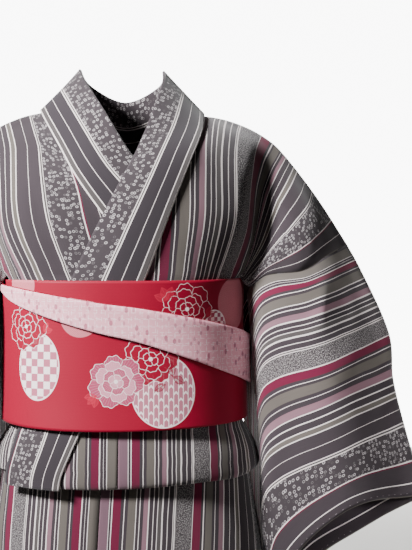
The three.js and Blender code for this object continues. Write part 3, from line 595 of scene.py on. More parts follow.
print("sleeve net, lines and columns:", sleeve("left")[0].shape[:2])

# %% [markdown]
# ## The belt and its bow
# The belt goes round twice. The outer wrap's top edge is folded down slantwise and shows
# the reverse, and the bow's wings are loops gathered at the knot. All are bands bent round
# tables of places, because stiff woven cloth keeps its width.

# %% The belt and its bow
BELT_RINGS = [[-204, 135.5, 110.5, 101.5], [-245, 135.0, 108, 100], [-285, 135.2, 106.5, 101],
              [-330, 135.6, 107, 102], [-370, 136.2, 109.5, 104]]
TURNED = [  # theta, z of the fold, z of the free edge, how far it stands out
    [-172, -208, -212, 0], [-100, -208, -212, 0], [-84, -209.5, -213.5, 0], [-70, -212, -221, 0],
    [-55, -214.5, -231, 0.3], [-30, -222, -247, 0.6], [0, -234, -268, 0.8], [30, -247, -292, 1],
    [60, -259, -312, 1.4], [90, -268, -324, 2.5], [120, -268, -322, 1.5], [172, -262, -312, 0.5]]
WING = [  # along the loop: x, y, top z, bottom z
    [4, 112, -268, -302], [22, 112, -264, -304], [60, 109, -246, -318], [110, 103, -226, -336],
    [146, 97, -218, -346], [155, 101, -217, -347], [150, 109, -219, -347], [112, 124, -228, -340],
    [60, 130, -246, -322], [22, 125, -264, -305], [4, 124.5, -267, -303]]
PLEATS, PLEAT, PUFF = 3, 1.6, 4              # gathers at the knot and how deep; the loop's roundness
KNOT_Y, KNOT_DEEP, KNOT_HALF, KNOT_TALL, KNOT_Z = 119.4, 12.4, 23, 26, -285
BOW_IN = 1.6                                 # mm that the bow sits closer, on the belt


def belt_top(theta):
    return -206 + 2 * bump(theta, 90, 40) - 1.5 * bump(theta, 0, 60)


def belt_bottom(theta):
    return -361 - 7.5 * bump(theta, -10, 62)


def belt_first():
    """A whole ring of rows."""
    net = []
    for i in range(96):
        theta = -180 + 360 * i / 96
        net.append([round_figure(BELT_RINGS, mix(belt_bottom(theta) + 1, belt_top(theta), v), theta, 0)
                    for v in (0, 0.12, 0.3, 0.5, 0.7, 0.88, 1)])
    return np.array(net)


def belt_second():
    """Rows from knot to knot, over the fold and down its free edge."""
    gap, turned, net = 3.0, 2.6, []
    for i in range(97):
        theta = mix(-172, 172, i / 96)
        _, fold, free, proud = lookup(TURNED, theta)
        bottom = belt_bottom(theta)

        def at(z, out):
            return round_figure(BELT_RINGS, z, theta, out)
        line = [at(mix(bottom, fold - 3, v), gap + proud * float(smooth((v - 0.6) / 0.4)) * 0.3)
                for v in (0, 0.2, 0.45, 0.7, 0.9)]
        line += [at(fold - 2, gap + proud * 0.3), at(fold - 0.2, gap + turned * 0.5 + proud * 0.6),
                 at(fold - 2, gap + turned + proud)]
        line += [at(mix(fold - 2, free, v), gap + turned + proud) for v in (0.35, 0.7, 1)]
        net.append(line)
    return np.array(net)


def wing(side):
    """One loop of the bow, gathered towards the knot."""
    m = 1 if side == "left" else -1
    tops, lows = [[w[0], w[1], w[2]] for w in WING], [[w[0], w[1], w[3]] for w in WING]
    net = []
    for i in range(37):
        t = i / 36 * (len(WING) - 1)
        p, q = through(tops, t), through(lows, t)
        gathered = float(smooth((70 - p[0]) / 60))
        line = []
        for k in range(25):
            s = k / 24
            line.append([m * mix(p[0], q[0], s),
                         mix(p[1], q[1], s) - BOW_IN + PLEAT * gathered * math.cos(2 * PLEATS * math.pi * s)
                         + PUFF * math.sin(math.pi * s) * (1 - gathered) * (1 if t > 5 else -0.6),
                         mix(p[2], q[2], s)])
        net.append(line)
    return np.array(net)


def knot():
    """The band round the middle, slightly narrower where it turns."""
    net = []
    for i in range(48):
        a = math.radians(360 * i / 48)
        c, s, p = math.cos(a), math.sin(a), 2 / 3.2
        line = []
        for k in np.linspace(-1, 1, 17):
            line.append([k * (KNOT_HALF - 2.5 * abs(s)),
                         KNOT_Y - BOW_IN + (KNOT_DEEP + 0.8 * (1 - k * k)) * np.sign(c) * abs(c) ** p,
                         KNOT_Z + (KNOT_TALL + 1.5 * (1 - k * k)) * np.sign(s) * abs(s) ** p])
        net.append(line)
    return np.array(net)


print("wraps:", belt_first().shape[:2], belt_second().shape[:2], "wing:", wing("left").shape[:2])

# %% [markdown]
# ## Cloth from a net
# A maker has flat lengths of cloth. Here each length is a net of points on its worn form,
# refined smoothly, creased along listed short lines, and given its thickness on both
# sides, so that the edges and folds catch the light as real cloth does.

# %% Refining and creasing
def finer(net, chart, down, over, closed=False):
    """A closer net on the same form: `down` and `over` steps between two of its points."""
    net = np.asarray(net, float)
    chart = np.asarray(chart, float)[..., None]
    if closed:
        net = np.concatenate([net[-1:], net, net[:2]])
        chart = np.concatenate([chart[-1:], chart, chart[:2]])
        ts = np.linspace(1, len(net) - 2, (len(net) - 3) * down, endpoint=False)
    else:
        ts = np.linspace(0, len(net) - 1, (len(net) - 1) * down + 1)
    rows = np.array([through(net, t) for t in ts])

    def straight(values, t):
        k = int(min(len(values) - 2, t))
        return mix(values[k], values[k + 1], t - k)
    marks = np.array([straight(chart, t) for t in ts])
    columns = np.swapaxes(rows, 0, 1)
    marks = np.swapaxes(marks, 0, 1)
    cs = np.linspace(0, len(columns) - 1, (len(columns) - 1) * over + 1)
    points = np.swapaxes(np.array([through(columns, c) for c in cs]), 0, 1)
    marks = np.swapaxes(np.array([straight(marks, c) for c in cs]), 0, 1)
    return points, marks[..., 0]


def normals(points, closed):
    if closed:
        down = np.roll(points, -1, 0) - np.roll(points, 1, 0)
    else:
        down = np.gradient(points, axis=0)
    n = np.cross(np.gradient(points, axis=1), down)
    return n / np.maximum(1e-9, np.linalg.norm(n, axis=-1, keepdims=True))


def creased(points, creases, closed=False, outward=None):
    """Soft ridges (depth above 0) and troughs along short lines, fading at both ends."""
    n = normals(points, closed)
    if outward is not None:
        n = n * np.sign((n * (points - np.array(outward))).sum(-1, keepdims=True))
    push = np.zeros(points.shape[:2])
    for a, b, width, depth in creases:
        a, b = np.array(a, float), np.array(b, float)
        t = np.clip(((points - a) @ (b - a)) / ((b - a) @ (b - a)), 0, 1)
        d = np.linalg.norm(points - (a + t[..., None] * (b - a)), axis=-1)
        wander = 1 + 0.25 * np.sin(9 * t + a[0])
        fade = 0.35 + 0.65 * np.sin(np.pi * np.clip(t, 0.02, 0.98))
        push += depth * np.exp(-(d / (width * wander)) ** 2) * fade
    return points + n * push[..., None]


# %% Thickening
made = {}                                    # node: its piece, and the cloth in it in m2


def put(name, data):
    """An object of a mesh, lamp or camera, in the scene."""
    obj = bpy.data.objects.new(name, data)
    bpy.context.scene.collection.objects.link(obj)
    return obj


def shell(name, points, marks, thick, materials, closed=False, lengths=None, face_of=None):
    """A closed wall of cloth, which stands for the solid of the same name. Its UV map
    holds the place across and along the cloth, in mm."""
    R, C = points.shape[:2]
    n = normals(points, closed)
    verts = np.concatenate([points + n * thick / 2, points - n * thick / 2]).reshape(-1, 3) / 1000
    grid = np.arange(R * C).reshape(R, C)
    if closed:
        grid = np.concatenate([grid, grid[:1]])
    a, b, c, d = grid[:-1, :-1], grid[:-1, 1:], grid[1:, 1:], grid[1:, :-1]
    quads = [np.stack([a, b, c, d], -1).reshape(-1, 4),
             np.stack([a, d, c, b], -1).reshape(-1, 4) + R * C]

    def rim(line):
        p, q = line[:-1], line[1:]
        quads.append(np.stack([q, p, p + R * C, q + R * C], -1))
    rim(grid[::-1, 0])
    rim(grid[:, -1])
    if not closed:
        rim(grid[0])
        rim(grid[-1, ::-1])
    faces = np.concatenate(quads)
    mesh = bpy.data.meshes.new("cloth_" + name)
    mesh.vertices.add(len(verts))
    mesh.vertices.foreach_set("co", verts.ravel())
    mesh.loops.add(faces.size)
    mesh.loops.foreach_set("vertex_index", faces.ravel().astype(np.int32))
    mesh.polygons.add(len(faces))
    mesh.polygons.foreach_set("loop_start", np.arange(0, faces.size, 4, dtype=np.int32))
    mesh.polygons.foreach_set("use_smooth", np.ones(len(faces), bool))
    mesh.update(calc_edges=True)
    if lengths is None:
        lengths = np.repeat(arcs(points[:, C // 2]), C)
    uv = np.stack([marks.ravel(), lengths.ravel()], -1)
    uv = np.concatenate([uv, uv])
    layer = mesh.uv_layers.new(name="cloth")
    layer.data.foreach_set("uv", uv[faces.ravel()].ravel().astype(np.float32))
    for m in materials:
        mesh.materials.append(m)
    if face_of is not None:
        mesh.polygons.foreach_set("material_index", face_of(faces).astype(np.int32))
    mesh.validate()
    mesh.update()
    piece = put("cloth_" + name, mesh)
    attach(piece, "root")
    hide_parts(name)
    made[name] = piece, sheet_area(points, closed)
    print(name, "net", R, "x", C, "faces", len(faces), "area m2", round(made[name][1], 4))


def sheet_area(points, closed):
    """Square metres of cloth in a net."""
    p = np.concatenate([points, points[:1]]) if closed else points
    u, v = p[1:, :-1] - p[:-1, :-1], p[:-1, 1:] - p[:-1, :-1]
    return float(np.linalg.norm(np.cross(u, v), axis=-1).sum()) / 1e6


# %% [markdown]
# ## Colours and weaves
# The cloth is a warp-striped weave: every stripe runs the length of the bolt. A chart of
# widths gives the stripes their order, so they stay parallel to each piece's long edges
# and are cut off at the seams, as on the real garment. A picture of cloth laid on the
# pieces would blur close up and repeat where the seams don't.

# %% Node helpers
def linear(code):
    """An sRGB hex code as the linear colour that a shader takes."""
    rgb = [int(code[i:i + 2], 16) / 255 for i in (1, 3, 5)]
    return [*(c / 12.92 if c <= 0.04045 else ((c + 0.055) / 1.055) ** 2.4 for c in rgb), 1.0]


def add(tree, kind, settings=None, links=None):
    """One node with its settings and its links: values, colours, fields or sockets."""
    node = tree.nodes.new(kind)
    for key, value in (settings or {}).items():
        setattr(node, key, value)
    for key, value in (links or {}).items():
        value = value.socket if isinstance(value, Field) else value
        if isinstance(value, bpy.types.NodeSocket):
            tree.links.new(value, node.inputs[key])
        else:
            node.inputs[key].default_value = value
    return node


def new_material(name, view):
    material = bpy.data.materials.new(name)
    material.use_nodes = True
    material.diffuse_color = linear(view)
    tree = material.node_tree
    tree.nodes.clear()
    return material, tree


def blend(tree, share, under, over):
    """One colour laid over another, by a share from 0 to 1."""
    return add(tree, "ShaderNodeMix", {"data_type": "RGBA"}, {0: share, 6: under, 7: over}).outputs[2]


# %% Fields: formulas worked out by the shader
class Field:
    """A number that varies over the cloth."""

    def __init__(self, tree, socket):
        self.tree, self.socket = tree, socket

    def op(self, operation, other=0.0, third=0.0):
        values = {0: self, 1: other, 2: third}
        return Field(self.tree, add(self.tree, "ShaderNodeMath", {"operation": operation}, values).outputs[0])

    def __add__(self, other): return self.op("ADD", other)
    def __sub__(self, other): return self.op("SUBTRACT", other)
    def __mul__(self, other): return self.op("MULTIPLY", other)
    def __truediv__(self, other): return self.op("DIVIDE", other)
    def __lt__(self, other): return self.op("LESS_THAN", other)
    def __gt__(self, other): return self.op("GREATER_THAN", other)
    def size(self): return self.op("ABSOLUTE")
    def sin(self): return self.op("SINE")
    def cos(self): return self.op("COSINE")
    def floor(self): return self.op("FLOOR")
    def wrap(self, length): return self.op("WRAP", length, 0.0)
    def clamp(self): return self.op("MINIMUM", 1.0).op("MAXIMUM", 0.0)
    def inside(self, soft=0.5): return self.op("MULTIPLY_ADD", -1 / soft, 0.5).clamp()


def length(u, v):
    return (u * u + v * v).op("SQRT")


def cloth_map(tree):
    """The place on the cloth, in mm, and its two parts."""
    uv = add(tree, "ShaderNodeUVMap", {"uv_map": "cloth"}).outputs[0]
    parts = add(tree, "ShaderNodeSeparateXYZ", None, {0: uv}).outputs
    return uv, Field(tree, parts["X"]), Field(tree, parts["Y"])


def noise(tree, vector, scale, detail):
    return Field(tree, add(tree, "ShaderNodeTexNoise", {"noise_dimensions": "2D"}, {
        "Vector": vector, "Scale": scale, "Detail": detail}).outputs[0])


def weave(tree, uv, colour, shade, ribs, relief, roughness, sheen):
    """The surface of woven cloth: a colour that wavers by `shade`, over ribs (how many,
    how uneven) that are felt as relief only, with a sheen (how strong, how wide)."""
    colour = add(tree, "ShaderNodeVectorMath", {"operation": "SCALE"}, {0: colour, "Scale": shade}).outputs[0]
    wave = add(tree, "ShaderNodeTexWave", {"bands_direction": "Y"}, {
        "Vector": uv, "Scale": ribs[0], "Distortion": ribs[1], "Detail": 2.0}).outputs["Fac"]
    felt = add(tree, "ShaderNodeBump", None, {"Strength": relief, "Distance": 0.0003, "Height": wave})
    cloth = add(tree, "ShaderNodeBsdfPrincipled", None, {
        "Base Color": colour, "Roughness": roughness, "IOR": 1.45, "Specular IOR Level": 0.25,
        "Sheen Weight": sheen[0], "Sheen Roughness": sheen[1], "Normal": felt.outputs[0]})
    add(tree, "ShaderNodeOutputMaterial", None, {0: cloth.outputs[0]})


print("the belt's red, as light:", [round(c, 3) for c in linear("#8d0227")])

# %% [markdown]
# ## The stripe chart
# A weaver writes down how many threads of each colour lie side by side. The chart here
# says the same in millimetres and a letter for the thread, and is read by colour ramps
# with hard steps, which stay crisp at any distance.

# %% The stripe chart
PLAIN, SPECKLED, FLOWERED = 1.0, 0.5, 0.0    # kinds of stripe, carried in the ramp's alpha
DARK = "#322a2f"
THREADS = {  # letter: colour, kind of stripe
    "D": (DARK, PLAIN), "E": ("#2b252a", PLAIN), "M": ("#454040", PLAIN), "L": ("#57514c", PLAIN),
    "W": ("#d8cfcd", PLAIN), "P": ("#785963", PLAIN), "V": ("#654b56", PLAIN), "R": ("#5c062b", PLAIN),
    "S": ("#352e32", SPECKLED), "F": ("#352e32", FLOWERED)}


def chart_of(text):
    return [(float(item[:-1]), *THREADS[item[-1]]) for item in text.split()]


CHART = chart_of(
    "13L 0.8W 2.5D 0.8W 11V 0.8W 2.5D 1.2W 8.5R 3D 0.8W 3D 8L 0.8W 3D 0.8W 3.5D 5P 1.2W 4D 0.8W "
    "4D 0.8W 4M 1.5W 5D 0.8W 5D 0.8W 1M 0.9W 19S 0.8W 8.5R 3D 0.8W 2D 8L 3D 0.8W 4D 6P 1.2W 7D "
    "0.8W 7D 1.2W 5L 1.2W 14D 0.8W 14D 1.2W 1.5M 1.2W 32F 1.5W 1.2R 14D 0.8W 12D")
# The same cloth as it shows on the sleeves and overlap pieces, without the mauve group.
NARROW_CHART = chart_of("11L 0.8W 2.5D 0.8W 3D 1.2W") + CHART[8:]
COLLAR_CHART = chart_of(
    "1.6W 4.6M 0.8W 11.5E 0.8W 12.5E 1.1W 1.4M 1.1W 32F 1.5W 1.2R 14E")
print("stripe repeat", round(sum(w for w, _, _ in CHART), 1), "mm")

# %% [markdown]
# ## The kimono's cloth
# Fine worsted or silk-like yarn dyed before weaving: the stripes are sharp, the cloth is
# matt, and no two threads are quite the same shade.

# %% Striped cloth
MOST_STOPS = 30                              # a colour ramp holds 32
WAVER = 0.8                                  # mm by which a stripe's edge wanders
BLOOM, FLECK = 0.56, 0.45                    # how strongly blossoms and flecks show
FULL_TURN = 6.2832


def stripe_ramps(tree, chart, place):
    """Colour and kind of the stripe at `place` (mm), from as many ramps as it takes."""
    place = place.wrap(sum(w for w, _, _ in chart))
    colour = kind = None
    start = 0.0
    for first in range(0, len(chart), MOST_STOPS):
        part = chart[first:first + MOST_STOPS]
        width = sum(w for w, _, _ in part)
        ramp = add(tree, "ShaderNodeValToRGB", None, {"Fac": (place - start) / width})
        ramp.color_ramp.interpolation = "CONSTANT"
        stops = ramp.color_ramp.elements
        at = 0.0
        for i, (w, code, sort) in enumerate(part):
            stop = stops.new(at / width) if i else stops[0]
            stop.position = at / width
            stop.color = [*linear(code)[:3], sort]
            at += w
        if len(stops) > len(part):
            stops.remove(stops[-1])
        if colour is None:
            colour, kind = ramp.outputs["Color"], ramp.outputs["Alpha"]
        else:
            past = place > start
            colour = blend(tree, past, colour, ramp.outputs["Color"])
            kind = add(tree, "ShaderNodeMix", {"data_type": "FLOAT"}, {
                0: past, 2: kind, 3: ramp.outputs["Alpha"]}).outputs[0]
        start += width
    return colour, Field(tree, kind)


def scattered_flowers(tree, uv, size, petals, ring_, petal, sharp):
    """Tiny blossoms, one to a cell about `size` mm across; they show as small rings."""
    cells = add(tree, "ShaderNodeTexVoronoi", {"voronoi_dimensions": "2D"},
                {"Vector": uv, "Scale": 1 / size, "Randomness": 0.6}).outputs
    scaled = add(tree, "ShaderNodeVectorMath", {"operation": "SCALE"}, {0: uv, "Scale": 1 / size})
    away = add(tree, "ShaderNodeVectorMath", {"operation": "SUBTRACT"}, {
        0: scaled.outputs[0], 1: cells["Position"]})
    parts = add(tree, "ShaderNodeSeparateXYZ", None, {0: away.outputs[0]}).outputs
    turn = Field(tree, parts["Y"]).op("ARCTAN2", parts["X"])
    luck = add(tree, "ShaderNodeSeparateColor", None, {0: cells["Color"]}).outputs[0]
    beat = turn.op("MULTIPLY_ADD", petals / FULL_TURN, luck).op("FRACT")
    angle = (beat - 0.5) * (FULL_TURN / petals)
    r = Field(tree, cells["Distance"])
    return ((length(r * angle.cos() - ring_, r * angle.sin()) - petal) * -sharp).clamp()


def woven_stripes(name, chart):
    """Warp-striped kimono cloth: matt, with a slight bloom where it turns away."""
    material, tree = new_material(name, DARK)
    uv, across, _ = cloth_map(tree)
    colour, kind = stripe_ramps(tree, chart, across + (noise(tree, uv, 0.02, 2.0) - 0.5) * WAVER)
    # blossoms strewn over the flowered stripe, and a fine fleck over the speckled one
    strewn = scattered_flowers(
        tree, uv, size=4.4, petals=5, ring_=0.26, petal=0.12, sharp=16.0) * (kind < 0.25) * BLOOM
    colour = blend(tree, strewn, colour, linear("#d2cbcc"))
    fleck = (noise(tree, uv, 0.95, 1.0) > 0.56) * ((kind < 0.75) * (kind > 0.25)) * FLECK
    colour = blend(tree, fleck, colour, linear("#c2bdbb"))
    # a slubby yarn: the colour wavers a little from thread to thread
    stretched = add(tree, "ShaderNodeMapping", None, {"Vector": uv, "Scale": (1.4, 0.05, 1.0)}).outputs[0]
    shade = noise(tree, stretched, 1.0, 3.0) * 0.22 + 0.89
    weave(tree, uv, colour, shade, ribs=(0.18, 1.5), relief=0.12, roughness=0.82, sheen=(0.25, 0.5))
    return material


kimono_cloth = woven_stripes("striped_kimono_cloth", CHART)         # the full chart, mauve group and all
narrow_cloth = woven_stripes("striped_narrow_cloth", NARROW_CHART)  # sleeves: plainer and darker to the eye
collar_cloth = woven_stripes("striped_collar_cloth", COLLAR_CHART)  # dark bands and one flowered one
print("striped cloths:", kimono_cloth.name, narrow_cloth.name, collar_cloth.name)

# %% [markdown]
# ## The belt's woven pictures
# Peonies, checked and arrow-feathered roundels and leaves are usual motifs on such belts.
# They are drawn here by formula in the belt's own flat millimetres: x runs round the
# figure from the middle of the front, z is the height. A formula stays crisp at any
# distance, as woven threads do.

# %% A picture on the belt
class Picture:
    """A ground colour with motifs laid over it one by one."""

    def __init__(self, tree, ground):
        self.tree = tree
        self.uv, self.x, self.z = cloth_map(tree)
        self.colour = add(tree, "ShaderNodeRGB").outputs[0]
        self.colour.default_value = linear(ground)

    def lay(self, mask, code, strength=1.0):
        share_ = mask if strength == 1.0 else mask * strength
        self.colour = blend(self.tree, share_, self.colour, linear(code))


# %% Motifs
RED, ROSE, BLUSH, CREAM, LEAF = "#8d0227", "#a84563", "#cf8a9c", "#f3e2e3", "#b81f3c"
PEONY_RINGS = [(1.0, 7, 0.3), (0.74, 6, 1.1), (0.5, 5, 0.2), (0.27, 4, 0.9)]  # reach, petals, turn


def peony(picture, cx, cz, size, filled=False):
    """Rings of notched petals round a heart, outlined, or filled as well."""
    dx, dz = picture.x - cx, picture.z - cz
    r, turn = length(dx, dz), dz.op("ARCTAN2", dx)
    for i, (reach, petals, spin) in enumerate(PEONY_RINGS):
        half = turn * (petals / 2) + spin
        notch = half.cos().size()                    # 1 in the middle of a petal, 0 between two
        wave = (turn * (petals * 3) + spin).sin() * 0.025 + (turn * 2 + spin * 3).sin() * 0.05
        edge = (notch.op("POWER", 0.45) * 0.26 + 0.74 + wave) * (size * reach)
        gap = r - edge
        picture.lay(gap.inside(), (ROSE, BLUSH)[i % 2] if filled else RED, 0.95)
        picture.lay((gap.size() - 0.3).inside(0.45), CREAM)
        core = size * (PEONY_RINGS[i + 1][0] * 0.8 if i < 3 else 0.1)
        between = notch * r * (2 / petals) - 0.26
        picture.lay(between.inside() * (gap < 0) * (r > core), CREAM, 0.9)
        if filled:
            veins = ((turn * (petals * 4)).sin() * r * (0.25 / petals)).size() - 0.12
            picture.lay(veins.inside(0.3) * (gap < -1.5) * (r > core), CREAM, 0.3)
    picture.lay((r - size * 0.08).inside(), CREAM)


def oval(picture, cx, cz, w, h):
    """How far outside an oval the place is, in mm."""
    return (length((picture.x - cx) / w, (picture.z - cz) / h) - 1) * min(w, h)


def checked_oval(picture, cx, cz, w, h, square=6.0):
    """A cream oval filled with a check."""
    edge = oval(picture, cx, cz, w, h)
    picture.lay(edge.inside(), CREAM)
    step = ((picture.x - cx) / square).floor() + ((picture.z - cz) / square).floor()
    picture.lay((edge + 1.1).inside() * (step.wrap(2.0) > 0.5), ROSE, 0.9)


def feathered_oval(picture, cx, cz, w, h, lane=5.4, tall=14.0):
    """A cream oval filled with arrow feathers, in lanes."""
    edge = oval(picture, cx, cz, w, h)
    picture.lay(edge.inside(), CREAM)
    across = (picture.x - cx) / lane
    number = across.floor()
    side = (across - number - 0.5).size()
    rise = (picture.z - cz + side * 5 + number.wrap(2.0) * (tall / 2)).wrap(tall)
    vane = (rise < tall * 0.86) * (side < 0.41) * (rise > 0.6)
    picture.lay((edge + 1.2).inside() * vane, ROSE, 0.85)


def leaves(picture, cx, cz, size, turns, code=LEAF, strength=0.8):
    """Outlined leaves with a middle rib, one at each angle in `turns`."""
    for turn in turns:
        c, s = math.cos(math.radians(turn)), math.sin(math.radians(turn))
        u = (picture.x - cx) * c + (picture.z - cz) * s
        v = (picture.z - cz) * c - (picture.x - cx) * s
        along = (u / size).clamp()
        body = v.size() - (along * math.pi).sin() * (size * 0.27)
        on = (u > 0) * (u < size)
        picture.lay(body.inside() * on, code, strength * 0.55)
        picture.lay((body.size() - 0.35).inside() * on, code, strength)
        picture.lay((v.size() - 0.3).inside() * on, code, strength)


def roundel(picture, cx, cz, r):
    """A faint round of fine net."""
    edge = length(picture.x - cx, picture.z - cz) - r
    mesh = ((picture.x * 3.0).sin() * (picture.z * 3.0).sin() > 0) * 0.16 + 0.34
    picture.lay(edge.inside() * mesh, "#f0a3ad")


# %% What is woven where
def outer_face(picture):
    """The outer wrap, below the folded edge."""
    roundel(picture, -42, -246, 22)
    checked_oval(picture, -92, -300, 27, 37, 8.0)
    peony(picture, -108, -257, 27)
    leaves(picture, -84, -262, 11, (60, 10))
    feathered_oval(picture, 48, -326, 35, 39)
    peony(picture, 34, -291, 29)
    peony(picture, -3, -315, 29, filled=True)
    leaves(picture, 58, -310, 15, (100, 330), "#7d0a26", 1.0)
    leaves(picture, 50, -318, 14, (210,), "#7d0a26", 1.0)
    leaves(picture, -24, -330, 13, (190, 225, 260))


def inner_face(picture):
    """The inner wrap, seen above the folded edge."""
    roundel(picture, -116, -212, 20)
    roundel(picture, 142, -232, 29)
    checked_oval(picture, 108, -256, 17, 17, 4.5)
    peony(picture, 74, -238, 29)
    leaves(picture, 52, -228, 15, (70, 115, 160))
    leaves(picture, 98, -246, 12, (20, 65))


def reverse_face(picture):
    """The reverse: pale pink, strewn with small petals over a fine dashed lattice."""
    tree = picture.tree
    for spacing, shift in ((7.0, 4.5), (9.0, 2.0)):
        for a, b in ((picture.x, picture.z), (picture.z, picture.x)):
            line = (b.wrap(spacing) - spacing / 2).size() < 0.3
            dash = (a + (b / spacing).floor() * shift).wrap(8.0) < 4.5
            picture.lay(line * dash, "#fbf1f1", 0.5)
    for turn, wide, tall, code in ((35, 9.0, 15.0, "#9c4460"), (-50, 7.0, 11.0, "#b57384")):
        spun = add(tree, "ShaderNodeMapping", None, {
            "Vector": picture.uv, "Rotation": (0.0, 0.0, math.radians(turn)),
            "Scale": (1 / wide, 1 / tall, 1.0)}).outputs[0]
        cells = add(tree, "ShaderNodeTexVoronoi", {"voronoi_dimensions": "2D"}, {
            "Vector": spun, "Scale": 1.0}).outputs
        chance = Field(tree, add(tree, "ShaderNodeSeparateColor", None, {0: cells["Color"]}).outputs[0])
        petal = (Field(tree, cells["Distance"]) - 0.20).inside(0.06)
        picture.lay(petal * (chance > 0.55), code, 0.7)


def woven_belt(name, view, ground, draw=None, roughness=0.6):
    """Belt cloth: closely beaten silk or rayon, smoother than the kimono's, with a soft
    gleam along the folds."""
    material, tree = new_material(name, view)
    picture = Picture(tree, ground)
    if draw:
        draw(picture)
    shade = noise(tree, picture.uv, 0.9, 4.0) * 0.18 + 0.91
    weave(tree, picture.uv, picture.colour, shade, ribs=(0.2, 1.0), relief=0.1,
          roughness=roughness, sheen=(0.05, 0.4))
    return material


belt_outer = woven_belt("red_belt_outer_wrap", "#c81f41", RED, outer_face)  # deep red under cream pictures
belt_inner = woven_belt("red_belt_inner_wrap", "#c81f41", RED, inner_face)  # the same red, fewer pictures
belt_plain = woven_belt("red_belt_plain", "#c81f41", RED)                   # the bow's unbroken red
belt_reverse = woven_belt("pink_belt_reverse", "#e8c9cf", "#e6a3b1", reverse_face, 0.7)  # pale and chalky
print("belt faces:", belt_outer.name, belt_inner.name, belt_plain.name, belt_reverse.name)

# %% [markdown]
# ## Making the pieces
# Each piece takes over from its plain solid. The creases are listed one by one: where the
# arm pulls on the armhole, where the collar's end is folded into the tuck, and a few
# similar ones behind. A simulation would put them elsewhere than the photo does.

# %% Creases listed one by one: start, end, width, depth (+ stands out)
BODY_CREASES = {
    "left": [
        ((166, -10, -80), (146, -29, -185), 7, -6.0), ((216, -42, -119), (207, -55, -182), 3.5, 2.6),
        ((196, -50, -140), (160, -46, -192), 6, -2.8), ((182, -44, -112), (156, -40, -176), 6, 2.4),
        ((168, -34, -95), (150, -42, -195), 8, 3.0), ((205, -40, -125), (168, -46, -205), 7, -2.5),
        ((128, -62, -85), (124, -66, -170), 8, 1.6), ((120, 70, -90), (125, 60, -180), 10, 2.0),
        ((60, 95, -90), (80, 88, -190), 12, -1.6),
        # and in the waist tuck, where the collar's end is folded in
        ((-48, -112, -376), (-66, -108, -420), 4.5, -1.2), ((30, -114, -372), (22, -114, -424), 5, -1.2),
        ((44, -114, -376), (40, -114, -424), 5, 0.9), ((84, -100, -376), (80, -104, -420), 5, 0.8),
        ((120, -80, -372), (122, -84, -414), 5, -0.9)],
    "right": [
        ((-166, -10, -80), (-146, -29, -185), 7, -5.0), ((-196, -50, -140), (-160, -46, -192), 6, -2.8),
        ((-168, -34, -95), (-150, -42, -195), 8, 3.0), ((-205, -40, -125), (-168, -46, -205), 7, -2.5),
        ((-120, -70, -90), (-84, -90, -180), 9, 1.5), ((-96, -80, -110), (-62, -96, -195), 7, -1.3),
        ((-120, 70, -90), (-125, 60, -180), 10, 2.0)]}
SLEEVE_CREASES = [  # on the left sleeve, and mirrored on the right one
    ((226, -66, -205), (212, -76, -268), 9, 5.0), ((246, -50, -215), (240, -66, -290), 9, -1.5),
    ((296, -20, -300), (200, -76, -330), 10, 3.0), ((300, -24, -345), (190, -72, -388), 12, -3.0),
    ((312, -34, -395), (180, -66, -440), 13, 3.2), ((325, -40, -430), (210, -66, -500), 11, -2.6),
    ((176, -56, -250), (168, -60, -430), 7, 2.2), ((250, 45, -260), (190, 44, -420), 12, 3.5),
    ((270, 36, -360), (210, 36, -480), 12, -3.0), ((168, 20, -400), (176, 60, -620), 9, 2.0)]


def mirrored(creases):
    return [((-a[0], a[1], a[2]), (-b[0], b[1], b[2]), w, d) for a, b, w, d in creases]


# %% Body panels, overlap pieces, collar and sleeves
FINE = 4                # points between two of a net's own
LONG_NET = 60                                # rows; a longer net is close-set enough already
CHEST, SLEEVE_MIDDLE = (0, 0, -150), (240, -15, -330)
grids = {}                                   # the points of each piece, in mm


def cloth_piece(name, net_and_chart, thick, material, creases=(), closed=False, over=FINE, inward=None):
    net, chart = net_and_chart
    points, marks = finer(net, chart, FINE - 1 if len(net) > LONG_NET else FINE, over, closed)
    if creases:
        points = creased(points, creases, closed, inward)
    grids[name] = points
    shell(name, points, marks, thick, [material], closed)


for side, m in (("left", 1), ("right", -1)):
    cloth_piece("body_" + side, body_panel(side), CLOTH, kimono_cloth, BODY_CREASES[side], inward=CHEST)
    cloth_piece("okumi_" + side, overlap_piece(side), CLOTH, narrow_cloth)
    cloth_piece("sleeve_" + side, sleeve(side), CLOTH, narrow_cloth,
                SLEEVE_CREASES if side == "left" else mirrored(SLEEVE_CREASES),
                closed=True, over=FINE - 1, inward=(m * SLEEVE_MIDDLE[0], *SLEEVE_MIDDLE[1:]))
cloth_piece("collar", collar_band(), COLLAR, collar_cloth, over=FINE + 2)

# %% [markdown]
# ## The belt's two wraps and the bow
# The wraps carry pictures, so they are cut much finer than their nets, in even steps, and
# their map is flat millimetres round the figure. The pale reverse starts at the fold.

# %% The two wraps
STEP = 3.0            # mm between points of a wrap
MEASURED_AT = 0.4                            # share of the height at which x is measured round
FOLD_COLUMN = 6.3                            # place in the net from which the reverse shows
BEHIND = 1000                                # keeps the search for the middle in front


